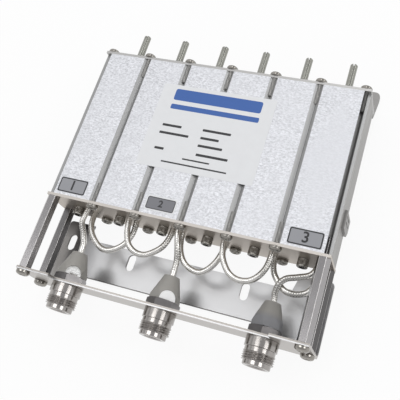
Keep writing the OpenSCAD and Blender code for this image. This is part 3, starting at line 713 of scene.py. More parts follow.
def dress(nodes, material):
    """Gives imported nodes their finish."""
    for node in nodes:
        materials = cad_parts[node].data.materials
        for k in range(len(materials)):
            materials[k] = material


# Operators


def aim(obj, place, across, up, back):
    """Puts a camera or a lamp at a place, with its own X, Y and Z along three directions."""
    axes = np.stack([across, up, back], 1)
    obj.matrix_world = Matrix.Translation(place) @ Matrix(axes.tolist()).to_4x4()


class DUPLEXER_OT_stage(bpy.types.Operator):
    """Sets the photograph's camera, the plain floor, the world and the soft lamps"""

    bl_idname = "duplexer.stage"
    bl_label = "Camera and Studio"

    # Each lamp's direction from the object, width and height, and radiance
    lamps = {
        "Ceiling_softbox": ((-0.50, 0.38, 0.78), (0.95, 1.2), 0.42),
        "Middle_strip": ((0.0, 0.46, 0.89), (0.13, 0.9), 3.3),
        "Right_strip": ((0.72, 0.42, 0.55), (0.13, 0.9), 3.3),
        "Left_bar": ((-0.29, 0.005, 0.955), (0.62, 0.14), 4.0),
        "Right_bar": ((0.69, 0.005, 0.72), (0.5, 0.14), 4.0),
    }

    def execute(self, context):
        self.camera(context.scene)
        context.scene.view_settings.view_transform = "Standard"
        self.floor()
        self.world(context.scene)
        for name, look in self.lamps.items():
            self.lamp(name, *look)
        return {"FINISHED"}

    def camera(self, scene):
        """The photograph's camera, fitted to the housing's edges and the sockets."""
        scene.camera = link("Camera", bpy.data.cameras.new("Camera"))
        right = np.array((0.93155, 0.28975, -0.2197))
        down = np.array((0.1689, -0.87984, -0.44424))
        ahead = np.array((-0.32202, 0.37673, -0.86855))
        aim(scene.camera, np.array((127.7, -117.4, 357.3)) * MM, right, -down, -ahead)
        camera = scene.camera.data
        focal_px, image_px = 700.6, 400
        camera.sensor_width = 36.0
        camera.lens = focal_px * camera.sensor_width / image_px
        camera.shift_x, camera.shift_y = -0.0585, -0.15
        camera.clip_start, camera.clip_end = 0.01, 50

    def floor(self):
        """A wide plain sheet under the object that stays white to the eye and keeps the shadow."""
        half = 6.0
        mesh = bpy.data.meshes.new("Floor")
        rim = [(-half, -half, 0), (half, -half, 0), (half, half, 0), (-half, half, 0)]
        mesh.from_pydata(rim, [], [(0, 1, 2, 3)])
        floor = link("Floor", mesh)
        floor.location.z = -0.0003
        f = Finish("Pale_floor")
        f.finish((0.93, 0.93, 0.93), 0.9, more=[("Specular IOR Level", 0.0)])
        rays = ("Is Camera Ray", "Is Glossy Ray", "Is Transmission Ray")
        eye, gloss, glass = (f.node("ShaderNodeLightPath", out=ray) for ray in rays)
        glow = f.node("ShaderNodeEmission", None, {"Color": (1, 1, 1, 1), "Strength": 1.0})
        lit = Wire(f, f.shader.outputs["BSDF"])
        seen = (eye + gloss + glass).upto(1.0)
        mixed = f.node("ShaderNodeMixShader", None, {0: seen * 0.91, 1: lit, 2: glow})
        f.tree.links.new(mixed.socket, f.tree.nodes["Material Output"].inputs["Surface"])
        mesh.materials.append(f.material)

    def world(self, scene):
        """A pale studio: white round the horizon and a greyer ceiling."""
        scene.world = bpy.data.worlds.new("Studio")
        scene.world.use_nodes = True
        nodes = Nodes(scene.world.node_tree)
        height = nodes.split(nodes.node("ShaderNodeTexCoord", out="Generated"))[2]
        stops = [
            (0.0, (1.0, 1.0, 1.0)), (0.22, (0.90, 0.90, 0.91)), (0.5, (0.62, 0.62, 0.63)),
            (1.0, (0.60, 0.60, 0.61)),
        ]
        colour = nodes.node("ShaderNodeValToRGB", {"stops": stops}, [height])
        background = nodes.tree.nodes["Background"]
        nodes.tree.links.new(colour.socket, background.inputs["Color"])
        background.inputs["Strength"].default_value = 1.0

    def lamp(self, name, towards, size, radiance):
        """A rectangular softbox of an even radiance that faces the object."""
        distance = 1.25
        data = bpy.data.lights.new(name, "AREA")
        data.shape = "RECTANGLE"
        data.size, data.size_y = size
        data.energy = radiance * np.pi * size[0] * size[1]
        back = np.array(towards) / np.linalg.norm(towards)
        across = np.cross((0, 1, 0), back)
        across /= np.linalg.norm(across)
        aim(link(name, data), back * distance, across, np.cross(back, across), back)


def route_line(points, t):
    """A smooth curve through points, at t from 0 to 1: a cubic through each two, with the slope at each point
    half the step between its neighbours."""
    p = np.asarray(points, float)
    last = len(p) - 1
    s = np.clip(np.asarray(t) * last, 0, last - 1e-9)
    k = s.astype(int)
    f = (s - k)[:, None]
    a, b, c, d = (p[np.clip(k + j, 0, last)] for j in (-1, 0, 1, 2))
    return 0.5 * (2 * b + (c - a) * f + (2 * a - 5 * b + 4 * c - d) * f**2 + (3 * b - a - 3 * c + d) * f**3)


def length_along(points):
    """The length of a line of points up to each of them."""
    return np.concatenate([[0], np.cumsum(np.linalg.norm(np.diff(points, axis=0), axis=1))])


def braided_tube(points, rough, size):
    """Rings round a line of points. Two families of strands cross round the tube; a strand lies over the
    other family on every second crossing. They stand out where rough is 1, and tin fills them where it is 0.
    Returns the rings and how deep each point lies in a hollow, from 0 to 1."""
    strands, sides = 6, 48
    ahead = np.gradient(points, axis=0)
    ahead /= np.linalg.norm(ahead, axis=1)[:, None]
    side = np.cross(ahead, (0, 0, 1))
    side /= np.linalg.norm(side, axis=1)[:, None]
    up = np.cross(side, ahead)
    angle = np.arange(sides) * FULL_TURN / sides
    twist = np.pi * length_along(points)[:, None] / (size.braid_pitch / MM)
    one, two = strands * angle[None] / 2 + twist, strands * angle[None] / 2 - twist
    ridge = np.maximum(np.abs(np.sin(one)), np.abs(np.sin(two)))
    over = 0.5 + 0.5 * np.sin(one) * np.sin(two)
    height = 0.55 * ridge**2 + 0.45 * over
    depth = size.braid_depth / MM * (0.16 + 0.84 * rough[:, None])
    radius = size.cable_d / MM / 2 - depth * (1 - height)
    round_ = np.cos(angle)[None, :, None] * side[:, None] + np.sin(angle)[None, :, None] * up[:, None]
    rings = points[:, None] + radius[..., None] * round_
    return rings, np.clip((0.8 - height) / 0.45, 0, 1) * rough[:, None]


class DUPLEXER_OT_cables(bpy.types.Operator):
    """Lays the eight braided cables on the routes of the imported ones"""

    bl_idname = "duplexer.cables"
    bl_label = "Braided Cables"

    def execute(self, context):
        size = sizes()
        material = tinned_braid(colours().braid, colours().braid_hollow_shade)
        ring_gap = 0.12
        share_of_route = np.linspace(0, 1, 400)
        for name, route in ROUTES.items():
            route = np.array(route) + (0, NEAR_Y, AXIS_Z)
            along = length_along(route_line(route, share_of_route))
            length = along[-1]
            even = np.interp(np.linspace(0, length, int(length / ring_gap)), along, share_of_route)
            points = route_line(route, even)
            share = np.linspace(0, 1, len(points))
            rough = np.zeros(len(points))
            for middle, half in ROUGH_STRETCHES[name]:
                rough = np.maximum(rough, np.clip(1.6 - 1.6 * np.abs(share - middle) / half, 0, 1))
            rings, hollow = braided_tube(points, rough, size)
            cable = piece(f"braided_{name}", [skin(rings)], material, name, sharp=60)
            layer = cable.data.attributes.new("Hollow", "FLOAT", "POINT")
            layer.data.foreach_set("value", np.append(hollow.ravel(), (0, 0)).astype(np.float32))
        return {"FINISHED"}


class DUPLEXER_OT_sockets(bpy.types.Operator):
    """Turns the three coaxial sockets with their thread, and finishes their beads and contacts"""

    bl_idname = "duplexer.sockets"
    bl_label = "Coaxial Sockets"

    def execute(self, context):
        nickel = polished("Nickel_plating", colours().nickel, 0.12, 0.08)
        rings = self.body(sizes().socket_pitch / MM)
        for i, (x, _, z) in zip(SOCKETS, SOCKET_MIDDLES, strict=True):
            body = skin(stand(rings, (x, FACE_Y, z), "-Y"), loop=True)
            piece(f"threaded_socket_{i}", [body], nickel, f"socket_body_{i}", sharp=40)
        plastic = printed_film("Bead_plastic", colours().compound, 0.4)
        dress([f"socket_insulator_{i}" for i in SOCKETS], plastic)
        brass = polished("Contact_brass", colours().brass, 0.2, 0.2)
        dress([f"centre_contact_{i}" for i in SOCKETS], brass)
        return {"FINISHED"}

    def body(self, pitch):
        """A socket's body: the tail, the shoulder, the neck, the thread, the lead, and the mouth down to the
        bead. Close points keep each edge crisp."""
        # Lengths: in front of the flange, then of the lead, the thread, the tail, the shoulder and the mouth
        reach, lead, thread_l, tail, end, mouth_l = 13.4, 2.4, 4.1, 6.1, 4.7, 9.0
        bore, tail_r, shoulder_r, neck_r, thread_r, lead_r, mouth_r = 3.5, 6.35, 8.2, 7.6, 7.9375, 6.9, 4.1
        high = reach - lead
        low, mouth = high - thread_l, reach - mouth_l
        profile = path(
            (bore, -tail), (tail_r - 0.3, -tail), (tail_r, -tail + 0.3), (tail_r, 0), (shoulder_r - 0.15, 0),
            (shoulder_r, 0.15), (shoulder_r, 0.2), (shoulder_r, end - 0.05, 3), (shoulder_r, end),
            (shoulder_r - 0.08, end + 0.08), (neck_r + 0.05, end + 0.2), (neck_r, end + 0.24),
            (neck_r, end + 0.3), (neck_r, low - 0.06, 3), (neck_r, low), (thread_r, low + 0.02),
            (thread_r, high, 60), (lead_r + 0.1, high + 0.1), (lead_r, high + 0.2), (lead_r, high + 0.28),
            (lead_r, reach - 0.48), (lead_r, reach - 0.4), (lead_r - 0.35, reach), (mouth_r + 0.85, reach),
            (mouth_r + 0.4, reach - 0.25), (mouth_r, reach - 0.8), (mouth_r, mouth, 6), (bore, mouth),
        )

        def shape(r, z, angle):
            threaded = (z >= low) & (z <= high) & (r > neck_r + 0.2)
            return np.where(threaded, thread(r, z, angle, pitch, 0.6, low, high + 0.2), r)

        return lathe(profile, 96, shape)


class DUPLEXER_OT_hoods(bpy.types.Operator):
    """Makes the sockets' rear nuts, the hexagonal cable hoods with a round-headed window, and the compound"""

    bl_idname = "duplexer.hoods"
    bl_label = "Cable Hoods"

    # The nuts' width across the flats and thickness, and the hoods' width, length, end radius and slope
    nut_flats, nut_t, flats, length, end_r, taper = 15.2, 3.8, 14.0, 12.8, 4.05, 0.36
    # The window's radius and its centre's height, the cable's bore, and the hollow's radius and height
    window_r, window_u, cable_bore, hollow, hollow_u = 4.2, 0.7, 1.75, 5.6, 5.0
    # Radius at which a profile's rings take the hexagon's own
    rim = 9.0

    def execute(self, context):
        tone = colours()
        plain_nut = polished("Dark_nut", tone.nut, 0.26, 0.3)
        plain_hood = cast_metal("Cast_hood", tone.hood, tone.hood)
        # The third socket's hood and nut are darker copies of the others: painted shade, cooler over the hood's
        # flats
        shaded_hood = cast_metal("Shaded_hood", shade(tone.hood, 0.78), (0.235, 0.236, 0.245))
        shaded_nut = polished("Shaded_nut", shade(tone.nut, 0.55), 0.26, 0.3)
        gritty = sealing_compound("Gritty_compound", tone.compound, 0.6)
        clean = sealing_compound("Clean_compound", tone.compound, 0.08)
        looks = (
            (11, 30, plain_nut, plain_hood, gritty),
            (50, 30, plain_nut, plain_hood, clean),
            (0, 210, shaded_nut, shaded_hood, clean),
        )
        window, fill = window_rings(self.outline(self.window_r, -1.0), 4.5, 14.0), self.fill()
        for i, (nut_turn, turn, nut_finish, hood_finish, compound) in zip(SOCKETS, looks, strict=True):
            x, _, z = SOCKET_MIDDLES[i - 1]
            seat = (x, FACE_Y + SHEET_T, z)
            nut = skin(stand(self.nut(), seat, turn=nut_turn), loop=True)
            piece(f"hexagonal_nut_{i}", [nut], nut_finish, f"socket_nut_{i}", sharp=25)
            seat = (x, FACE_Y + SHEET_T + self.nut_t, z)
            shell = skin(stand(self.hood(), seat, turn=turn), loop=True)
            hood = piece(f"windowed_hood_{i}", [shell], hood_finish, f"cable_hood_{i}", sharp=20)
            carve(hood, [skin(stand(window, seat, turn=turn))], 20)
            inside = skin(stand(fill, seat, turn=turn), loop=True)
            plug = skin(stand(self.plug(lumpy=i == 1), seat, turn=turn))
            piece(f"window_compound_{i}", [inside, plug], compound, f"hood_seal_{i}")
        return {"FINISHED"}

    def nut(self):
        """A bevelled nut: the smaller of the hexagon's radius and of a cone that cuts its rear corners."""
        corner, bevel, bore, rim = self.nut_flats / np.sqrt(3), 0.5, 6.42, self.rim
        start = self.nut_t - bevel
        profile = path((bore, 0), (rim, 0), (rim, start, 3), (rim, self.nut_t, 5), (bore, self.nut_t))

        def shape(r, z, angle):
            cone = corner - 2.2 * np.clip(z - start, 0, None)
            return np.where(r == rim, np.minimum(hexagon(angle, self.nut_flats), cone), r)

        return lathe(profile, 96, shape)

    def slope(self, u):
        """The cone's radius at u."""
        return self.end_r + self.taper * (self.length - u)

    def hood(self):
        """A hexagonal bar turned to a cone: the smaller of both radii, with a flat towards -Y; inside, a plain
        bore at the base, a hollow and a bore."""
        base, wall, length = 6.4, 1.5, self.length
        profile = path(
            (base, 0), (self.rim, 0), (self.rim, length, 52), (self.cable_bore, length),
            (self.cable_bore, length - wall), (self.hollow, self.hollow_u), (self.hollow, wall), (base, wall),
        )

        def shape(r, z, angle):
            outside = np.minimum(hexagon(angle + np.pi / 6, self.flats), self.slope(z))
            return np.where(r == self.rim, outside, r)

        return lathe(profile, 144, shape)

    def outline(self, r, base):
        """The window's outline in X and U: half a circle on two legs that flare a little, down to base."""
        arc = np.radians(np.linspace(0, 180, 33))
        legs = np.array([(-r - 0.1, base), (r + 0.1, base)])
        return np.concatenate([np.stack([r * np.cos(arc), self.window_u + r * np.sin(arc)], -1), legs])

    def fill(self):
        """The compound inside the hood: a cone with a bore for the cable."""
        bore, start, high = self.cable_bore + 0.02, 1.6, self.length - 1.6
        wide = self.hollow - 0.05
        profile = [(bore, start), (wide, start), (wide, self.hollow_u), (bore + 0.3, high), (bore, high)]
        return lathe(profile, 72)

    def plug(self, lumpy):
        """The compound in the window: its outline drawn in towards the middle, a little below the hood's
        surface, or lower and in uneven layers."""
        edge = self.outline(self.window_r - 0.04, 0.05)
        middle = np.array([0.0, self.window_u])
        share = np.concatenate([[1.0], np.linspace(1, 0.04, 25)])
        x, u = np.moveaxis(middle + (edge - middle) * share[:, None, None], -1, 0)
        level = np.full(x.shape, 6.6)
        if lumpy:
            waves = 0.16 * np.sin(5.5 * u + 0.7 * np.sin(1.1 * x))
            waves += 0.2 * np.sin(1.7 * x + 0.5) * np.cos(1.3 * u)
            level = 5.9 + waves - 0.1 * (u - self.window_u)
        inside = np.sqrt(np.maximum((self.slope(u) - 0.25) ** 2 - x**2, 1.0))
        y = -np.minimum(level, inside)
        y[0] = -4.6
        return np.stack([x, y, u], -1)


def window_rings(outline, near, far):
    """Two rings of the window's outline on either side of the hood's wall, near and far from its axis."""
    x, u = outline.T
    return np.stack([np.stack([x, np.full(len(x), -y), u], -1) for y in (near, far)])


class DUPLEXER_OT_standoffs(bpy.types.Operator):
    """Makes the four hexagonal stand-off rods, with eased edges that carry a painted highlight, a stud and a
    plain bore at the far end
    """

    bl_idname = "duplexer.standoffs"
    bl_label = "Stand-off Rods"

    # How far each rod happens to be turned, in degrees
    turns = {"upper_left": 24, "upper_right": 36, "lower_left": 27, "lower_right": 36}

    def execute(self, context):
        # The upper rods' right flats take painted light; the lower rods are a darker copy, painted shade, their
        # right flats darker still
        upper = hexagon_steel("Lit_stand_off_steel", colours().steel, 2.0)
        lower = hexagon_steel("Shaded_stand_off_steel", shade(colours().steel, 0.62), 0.8)
        rings = self.rod()
        for place, turn in self.turns.items():
            x, _, z = middle_of(f"standoff_{place}")
            rod = skin(stand(rings, (x, NEAR_Y, z), "-Y", turn))
            steel = upper if "upper" in place else lower
            name = f"hexagonal_standoff_{place}"
            piece(name, [rod], steel, f"standoff_{place}", sharp=28)
        return {"FINISHED"}

    def rod(self):
        """A stand-off as rings from its stud's end along the flats into the plain bore at its far end."""
        flats, length = 6.1, NEAR_Y - FACE_Y - SHEET_T
        stud, core, bore_l, ease = 10.5, 1.4, 10.0, 0.35
        profile = path(
            (core - 0.4, -stud), (core, -stud + 0.4), (core, 0), (flats / 2, 0), (flats / 2, length, 8),
            (core + 0.05, length), (core + 0.05, length - bore_l), (0.5, length - bore_l - 0.6),
        )
        corner = flats / np.sqrt(3)

        def shape(r, z, angle):
            """A hexagon with eased corners: its radius, but no more than a curve that starts where an arc of
            radius ease would round the corner and falls with the square of the angle from it."""
            from_corner = np.pi / 6 - np.abs(from_flat(angle))
            eased = corner - ease * (1 / np.sin(np.pi / 3) - 1) - from_corner**2 * corner * 0.45
            return np.where(r > flats / 2 - 0.01, np.minimum(hexagon(angle, flats), eased), r)

        return lathe(profile, 144, shape)


class DUPLEXER_OT_rods(bpy.types.Operator):
    """Threads the six tuning rods and slots their tips"""

    bl_idname = "duplexer.rods"
    bl_label = "Tuning Rods"

    def execute(self, context):
        pitch = sizes().rod_pitch / MM
        material = polished("Dull_nickel_rod", colours().rod, 0.13, 0.2)
        low, high = corners("tuning_rod_1")
        length = high[1] - low[1]
        r, tip = (high[0] - low[0]) / 2, 1.0
        # The tip is rounded by a quarter circle of radius tip
        bend = np.radians(np.arange(15, 91, 15))
        end = [(r - tip * (1 - np.cos(a)), length - tip + tip * np.sin(a)) for a in bend]
        threaded = (r, length - tip, int(length / pitch * 6))
        profile = path((r - 0.5, 0), (r, 0.45), threaded, *end, (0.5, length))
        rings = lathe(profile, 32, lambda q, z, angle: thread(q, z, angle, pitch, 0.09, 0.2, length - 0.9))
        slot_half, slot_depth = 0.45, 1.6
        for i, (x, _, z) in zip(CAVITIES, ROD_MIDDLES, strict=True):
            rod = skin(stand(rings, (x, low[1], z)))
            rod = piece(
                f"threaded_rod_{i}", [rod], material, f"tuning_rod_{i}", body=f"tuner_{i}", sharp=50
            )
            slot_low = (x - slot_half, high[1] - slot_depth, z - 3)
            carve(rod, [block(slot_low, (x + slot_half, high[1] + 1, z + 3))], 50)
        return {"FINISHED"}


def pan_head(head_d, head_h):
    """A pan head as rings from the rim over the dome to the middle. A cross recess with sloping walls is sunk
    where a point lies near either of two crossed lines."""
    r, rim = head_d / 2, head_h * 0.42
    dome = np.radians(np.arange(8, 91, 8))
    profile = [(r - 0.25, 0), (r, 0.2), (r, rim)]
    profile += [(r * (0.5 + 0.5 * np.cos(a)), rim + (head_h - rim) * np.sin(a)) for a in dome]
    profile += [(r * 0.5 * (1 - k / 16), head_h) for k in range(1, 16)]
    rings = lathe(profile, 64)
    x, y = rings[..., 0], rings[..., 1]
    arm, wall, reach = head_d * 0.075, head_d * 0.05, head_d * 0.29
    line = np.minimum(np.abs(x), np.abs(y))
    far = np.maximum(np.abs(x), np.abs(y))
    sunk = np.clip((arm + wall - line) / wall, 0, 1) * np.clip((reach - far) / (wall * 1.5), 0, 1)
    middle = np.clip((head_d * 0.13 - np.hypot(x, y)) / wall, 0, 1)
    rings[..., 2] -= head_h * (0.42 * np.maximum(sunk, middle)) * (rings[..., 2] > rim)
    return rings


def screw(head_d, head_h, core_d, crest_d, length, pitch):
    """A whole screw as rings from its pointed end up the threaded shank, out under the head and over it. The
    thread is a narrow ridge on the core: a wave of the height less a turn's share of the angle."""
    core, ridge = core_d / 2, (crest_d - core_d) / 2
    profile = path((core - 0.5, -length), (core, -length + 0.5), (core, 0, int(length / pitch * 4)))

    def shape(r, z, angle):
        wave = np.clip(1.3 - 2.6 * np.abs((z / pitch - angle / FULL_TURN) % 1 - 0.5), 0, 1)
        return r + ridge * wave * (z > -length + 0.4) * (z < -0.2)

    return np.concatenate([lathe(profile, 64, shape), pan_head(head_d, head_h)])


class DUPLEXER_OT_screws(bpy.types.Operator):
    """Makes the pan-head screws of both end plates and of the front bracket, with threads and recesses"""

    bl_idname = "duplexer.screws"
    bl_label = "Pan-Head Screws"

    def execute(self, context):
        pitch = sizes().screw_pitch / MM
        material = plated_screw(colours().screw, colours().shank)
        plate = screw(6.38, 2.3, 2.3, 2.92, 13, pitch)
        bracket = screw(7.2, 2.6, 2.3, 2.8, 9.5, pitch)
        rows = [(x, z) for x in GROOVE_X for z in ROW_Z]
        sides = [(x, z) for x in (-CORNER_X, CORNER_X) for z in CORNER_Z]
        # The far plate's lower screws stand on the rear bracket
        far = [(x, FAR_Y + SHEET_T if z < AXIS_Z else FAR_Y, z) for x, z in rows + sides]
        sets = {
            "near_plate_screws": (plate, "-Y", [(x, NEAR_Y, z) for x, z in rows]),
            "far_plate_screws": (plate, "+Y", far),
            "front_bracket_screws": (bracket, "-Y", [(x, FACE_Y, z) for x, z in sides]),
        }
        for node, (rings, axis, spots) in sets.items():
            turned = [stand(rings, spot, axis, (k * 67 + 20) % 90) for k, spot in enumerate(spots)]
            skins = [skin(points) for points in turned]
            piece(f"threaded_{node}", skins, material, node, sharp=38)
        return {"FINISHED"}


class DUPLEXER_OT_cap_screws(bpy.types.Operator):
    """Makes the six cap screws on the cavity axes, with a knurled rim and a hexagon socket"""

    bl_idname = "duplexer.cap_screws"
    bl_label = "Cap Screws"

    def execute(self, context):
        material = polished("Cap_screw", shade(colours().screw, 0.9), 0.2, 0.25)
        r, h, core, reach = 2.85, 4.4, 1.7, 9.5
        flats, socket_r, deep, knurls = 2.8, 1.6, 2.2, 36
        profile = path(
            (core - 0.4, -reach), (core, -reach + 0.4), (core, 0), (r - 0.15, 0), (r, 0.15), (r, h - 0.45, 6),
            (r - 0.12, h - 0.18), (r - 0.4, h), (socket_r + 0.3, h), (socket_r + 0.02, h - 0.15),
            (socket_r, h - deep), (0.5, h - deep - 0.4),
        )

        def shape(q, z, angle):
            """A hexagon in the socket, and on the rim a cosine wave of the angle that cuts the knurls."""
            knurl = 0.06 * (np.cos(knurls * angle) - 1) * ((q > r - 0.05) & (z > 0.3) & (z < h - 0.5))
            in_socket = (z > 0.5) & (q < socket_r + 0.1)
            return np.where(in_socket, hexagon(angle, flats) * q / socket_r, q + knurl)

        rings = lathe(profile, 144, shape)
        skins = [skin(stand(rings, (x, NEAR_Y, AXIS_Z), "-Y")) for x in CAVITY_X]
        piece("socket_cap_screws", skins, material, "resonator_screws", sharp=38)
        return {"FINISHED"}


def rounded(w, h, r, corner_points=8):
    """The outline of a rectangle with round corners, as points round its middle."""
    turn = np.radians(np.linspace(0, 90, corner_points))
    parts = []
    for k, (sx, sy) in enumerate(((1, 1), (-1, 1), (-1, -1), (1, -1))):
        a = turn + k * np.pi / 2
        parts.append(np.stack([sx * (w / 2 - r) + r * np.cos(a), sy * (h / 2 - r) + r * np.sin(a)], -1))
    return np.concatenate(parts)


def levels(pairs, middle):
    """Rings from pairs of an outline and a height, moved to a middle."""
    return np.stack([np.insert(outline, 2, z, axis=1) for outline, z in pairs]) + (*middle, 0)


def raised(outline, middle, low, high):
    """A flat solid with a slightly eased upper edge over an outline, from the height low to high."""
    ease = min(0.04, (high - low) / 3)
    inner = outline * (1 - ease / np.abs(outline).max(0))
    return skin(levels([(outline, low), (outline, high - ease), (inner, high)], middle))


def ring_frame(outer, inner, middle, low, high):
    """A flat frame between two outlines: a closed loop of four rings, outside up and inside down."""
    return skin(levels([(outer, low), (outer, high), (inner, high), (inner, low)], middle), loop=True)


class DUPLEXER_OT_labels(bpy.types.Operator):
    """Lays the labels on the housing: three small numbered ones and a large pale one with plain bars"""

    bl_idname = "duplexer.labels"
    bl_label = "Labels"

    # How far print reaches into the film, and stands out of it
    sunk, print_t = 0.02, 0.03
    # Small labels: X, distance from the near plate, width, height; frame's inset and width; number's height
    badges = (
        (-65.05, 7.2, 16.6, 8.4, 0.15, 0.6, 5.4),
        (-12.9, 7.65, 17.2, 8.2, 0.75, 0.4, 3.6),
        (64.3, 6.9, 17.2, 8.4, 0.15, 0.6, 5.4),
    )
    # Bars of the large label: from X, to X, from Y, to Y, both Y from the near plate; corner radius
    blue_bars = ((-26.8, 24.0, 68.2, 75.2, 1.2), (-26.8, 24.3, 62.6, 65.6, 0.7))
    # Rows of short dark bars: from X, to X, and the middle's distance from the near plate
    thick_rows = (
        (-27.6, -16.4, 52.4), (-4.1, 12.0, 53.0), (-27.9, -10.8, 47.7), (-4.0, 6.5, 48.3),
        (-4.0, 9.8, 43.7), (-27.5, -22.1, 38.3), (-3.4, 14.5, 38.4),
    )
    thin_rows = ((-10.0, 5.4, 34.6), (-21.2, 15.9, 31.3))

    def execute(self, context):
        tone = colours()
        top = TOP_Z + sizes().label_t / MM
        ink = printed_film("Dark_print", tone.ink, 0.45)
        grey = printed_film("Grey_label", tone.badge, 0.3)
        dark = printed_film("Dark_grey_label", tone.badge_dark, 0.3)
        white = printed_film("Label_film", tone.film, 0.32)
        for k, badge in enumerate(self.badges, 1):
            middle_one = k == 2
            self.badge(k, badge, white if middle_one else grey, dark if middle_one else None, ink, top)
        self.large_label(white, ink, top)
        return {"FINISHED"}

    def badge(self, k, sizes_of_badge, film, field, ink, top):
        """One small label: its film, a field in it or none, a rounded dark frame and a number."""
        x, y, w, h, inset, bar, tall = sizes_of_badge
        middle = (x, NEAR_Y + y)
        low, high = top - self.sunk, top + self.print_t
        piece(f"port_label_{k}", [raised(rounded(w, h, 1.0), middle, TOP_Z - 0.02, top)], film)
        outer = rounded(w - 2 * inset, h - 2 * inset, 0.95)
        inner = rounded(w - 2 * inset - 2 * bar, h - 2 * inset - 2 * bar, 0.6)
        if field:
            flat = raised(inner, middle, low, top + self.print_t * 0.6)
            piece(f"port_label_{k}_field", [flat], field)
        piece(f"port_label_{k}_frame", [ring_frame(outer, inner, middle, low, high)], ink)
        self.number(k, middle, tall, high, ink)

    def number(self, k, middle, tall, height, ink):
        """A plain number, made a mesh, centred on the label."""
        curve = bpy.data.curves.new("number", "FONT")
        curve.body = str(k)
        curve.size = tall / 0.7 * MM
        curve.extrude = 0.02 * MM
        curve.offset = 0.14 * MM
        curve.align_x, curve.align_y = "CENTER", "CENTER"
        text = bpy.data.objects.new("number", curve)
        mesh = bpy.data.meshes.new_from_object(text)
        bpy.data.objects.remove(text)
        mesh.transform(Matrix.Translation((middle[0] * MM, middle[1] * MM, height * MM)))
        add(f"port_number_{k}", mesh, ink)

    def large_label(self, white, ink, top):
        """The pale label over three grooves, with a plain blue field, a blue bar and rows of dark bars."""
        x0, x1, y0, y1 = -35.0, 31.2, NEAR_Y + 27.2, NEAR_Y + 77.6
        middle = ((x0 + x1) / 2, (y0 + y1) / 2)
        film = raised(rounded(x1 - x0, y1 - y0, 1.2), middle, TOP_Z + 0.004, top)
        piece("large_label", [film], white)
        blue = printed_film("Blue_print", colours().blue, 0.4)
        piece("large_label_blue_bars", [self.bar(*bar, top) for bar in self.blue_bars], blue)
        bars = []
        for rows, half, r in ((self.thick_rows, 0.7, 0.3), (self.thin_rows, 0.42, 0.2)):
            bars += [self.bar(a, b, y - half, y + half, r, top) for a, b, y in rows]
        piece("large_label_dark_bars", bars, ink)

    def bar(self, x0, x1, y0, y1, r, top):
        """A printed bar with round corners."""
        middle = ((x0 + x1) / 2, NEAR_Y + (y0 + y1) / 2)
        return raised(rounded(x1 - x0, y1 - y0, r, 5), middle, top - self.sunk, top + self.print_t)


class DUPLEXER_OT_housing(bpy.types.Operator):
    """Extrudes the housing: stepped long edges, six round cavities and sloping grooves for the screws"""

    bl_idname = "duplexer.housing"
    bl_label = "Housing"

    def execute(self, context):
        side_wall = 3.3
        half_w, half_h = HOUSING_HIGH[0], (TOP_Z - HOUSING_LOW[2]) / 2
        outline = self.upper_half(half_w, half_h)
        outline = np.concatenate([outline, -outline])
        clockwise = -np.arange(96) * FULL_TURN / 96
        bore_r = half_w - side_wall - 2.5 * PITCH
        bore = bore_r * np.stack([np.cos(clockwise), np.sin(clockwise)], -1)
        loops = [loop + (0, AXIS_Z) for loop in [outline, *(bore + (x, 0) for x in CAVITY_X)]]
        prism = section_prism(loops, HOUSING_LOW[1], HOUSING_HIGH[1])
        material = stippled_lacquer(colours().housing, colours().groove)
        piece("grooved_housing", [prism], material, "cavity_housing", sharp=32)
        return {"FINISHED"}

    def upper_half(self, half_w, half_h):
        """The outline above the cavity axes, from right to left: a step with a screw channel in its corner,
        then the grooves, each two slopes of 45 degrees with a round bottom and eased edges, then the other
        step."""
        step_x = half_w - 3.5
        centre = np.array((CORNER_X, CORNER_Z[1] - AXIS_Z))
        start = np.arccos((CORNER_X - step_x) / -CHANNEL_R)
        sweep = np.linspace(0, start - FULL_TURN, 25)
        channel = centre + CHANNEL_R * np.stack([np.cos(sweep), np.sin(sweep)], -1)
        right = np.concatenate([[(half_w, centre[1])], channel, [(step_x, half_h)]])
        lip_r, bottom_r = 0.3, 0.45
        lip_x = GROOVE_HALF + lip_r * np.tan(np.pi / 8)
        bend = np.linspace(0, np.pi / 4, 4)
        lip = np.stack([lip_x - lip_r * np.sin(bend), half_h - lip_r + lip_r * np.cos(bend)], -1)
        low = half_h - GROOVE_HALF + bottom_r * np.sqrt(2)
        arc = np.linspace(-np.pi / 4, -np.pi * 3 / 4, 7)
        bottom = np.stack([bottom_r * np.cos(arc), low + bottom_r * np.sin(arc)], -1)
        mirror = (-1, 1)
        groove = np.concatenate([lip, bottom, (lip * mirror)[::-1]])
        grooves = [groove + (x, 0) for x in reversed(GROOVE_X)]
        return np.concatenate([right, *grooves, (right * mirror)[::-1]])


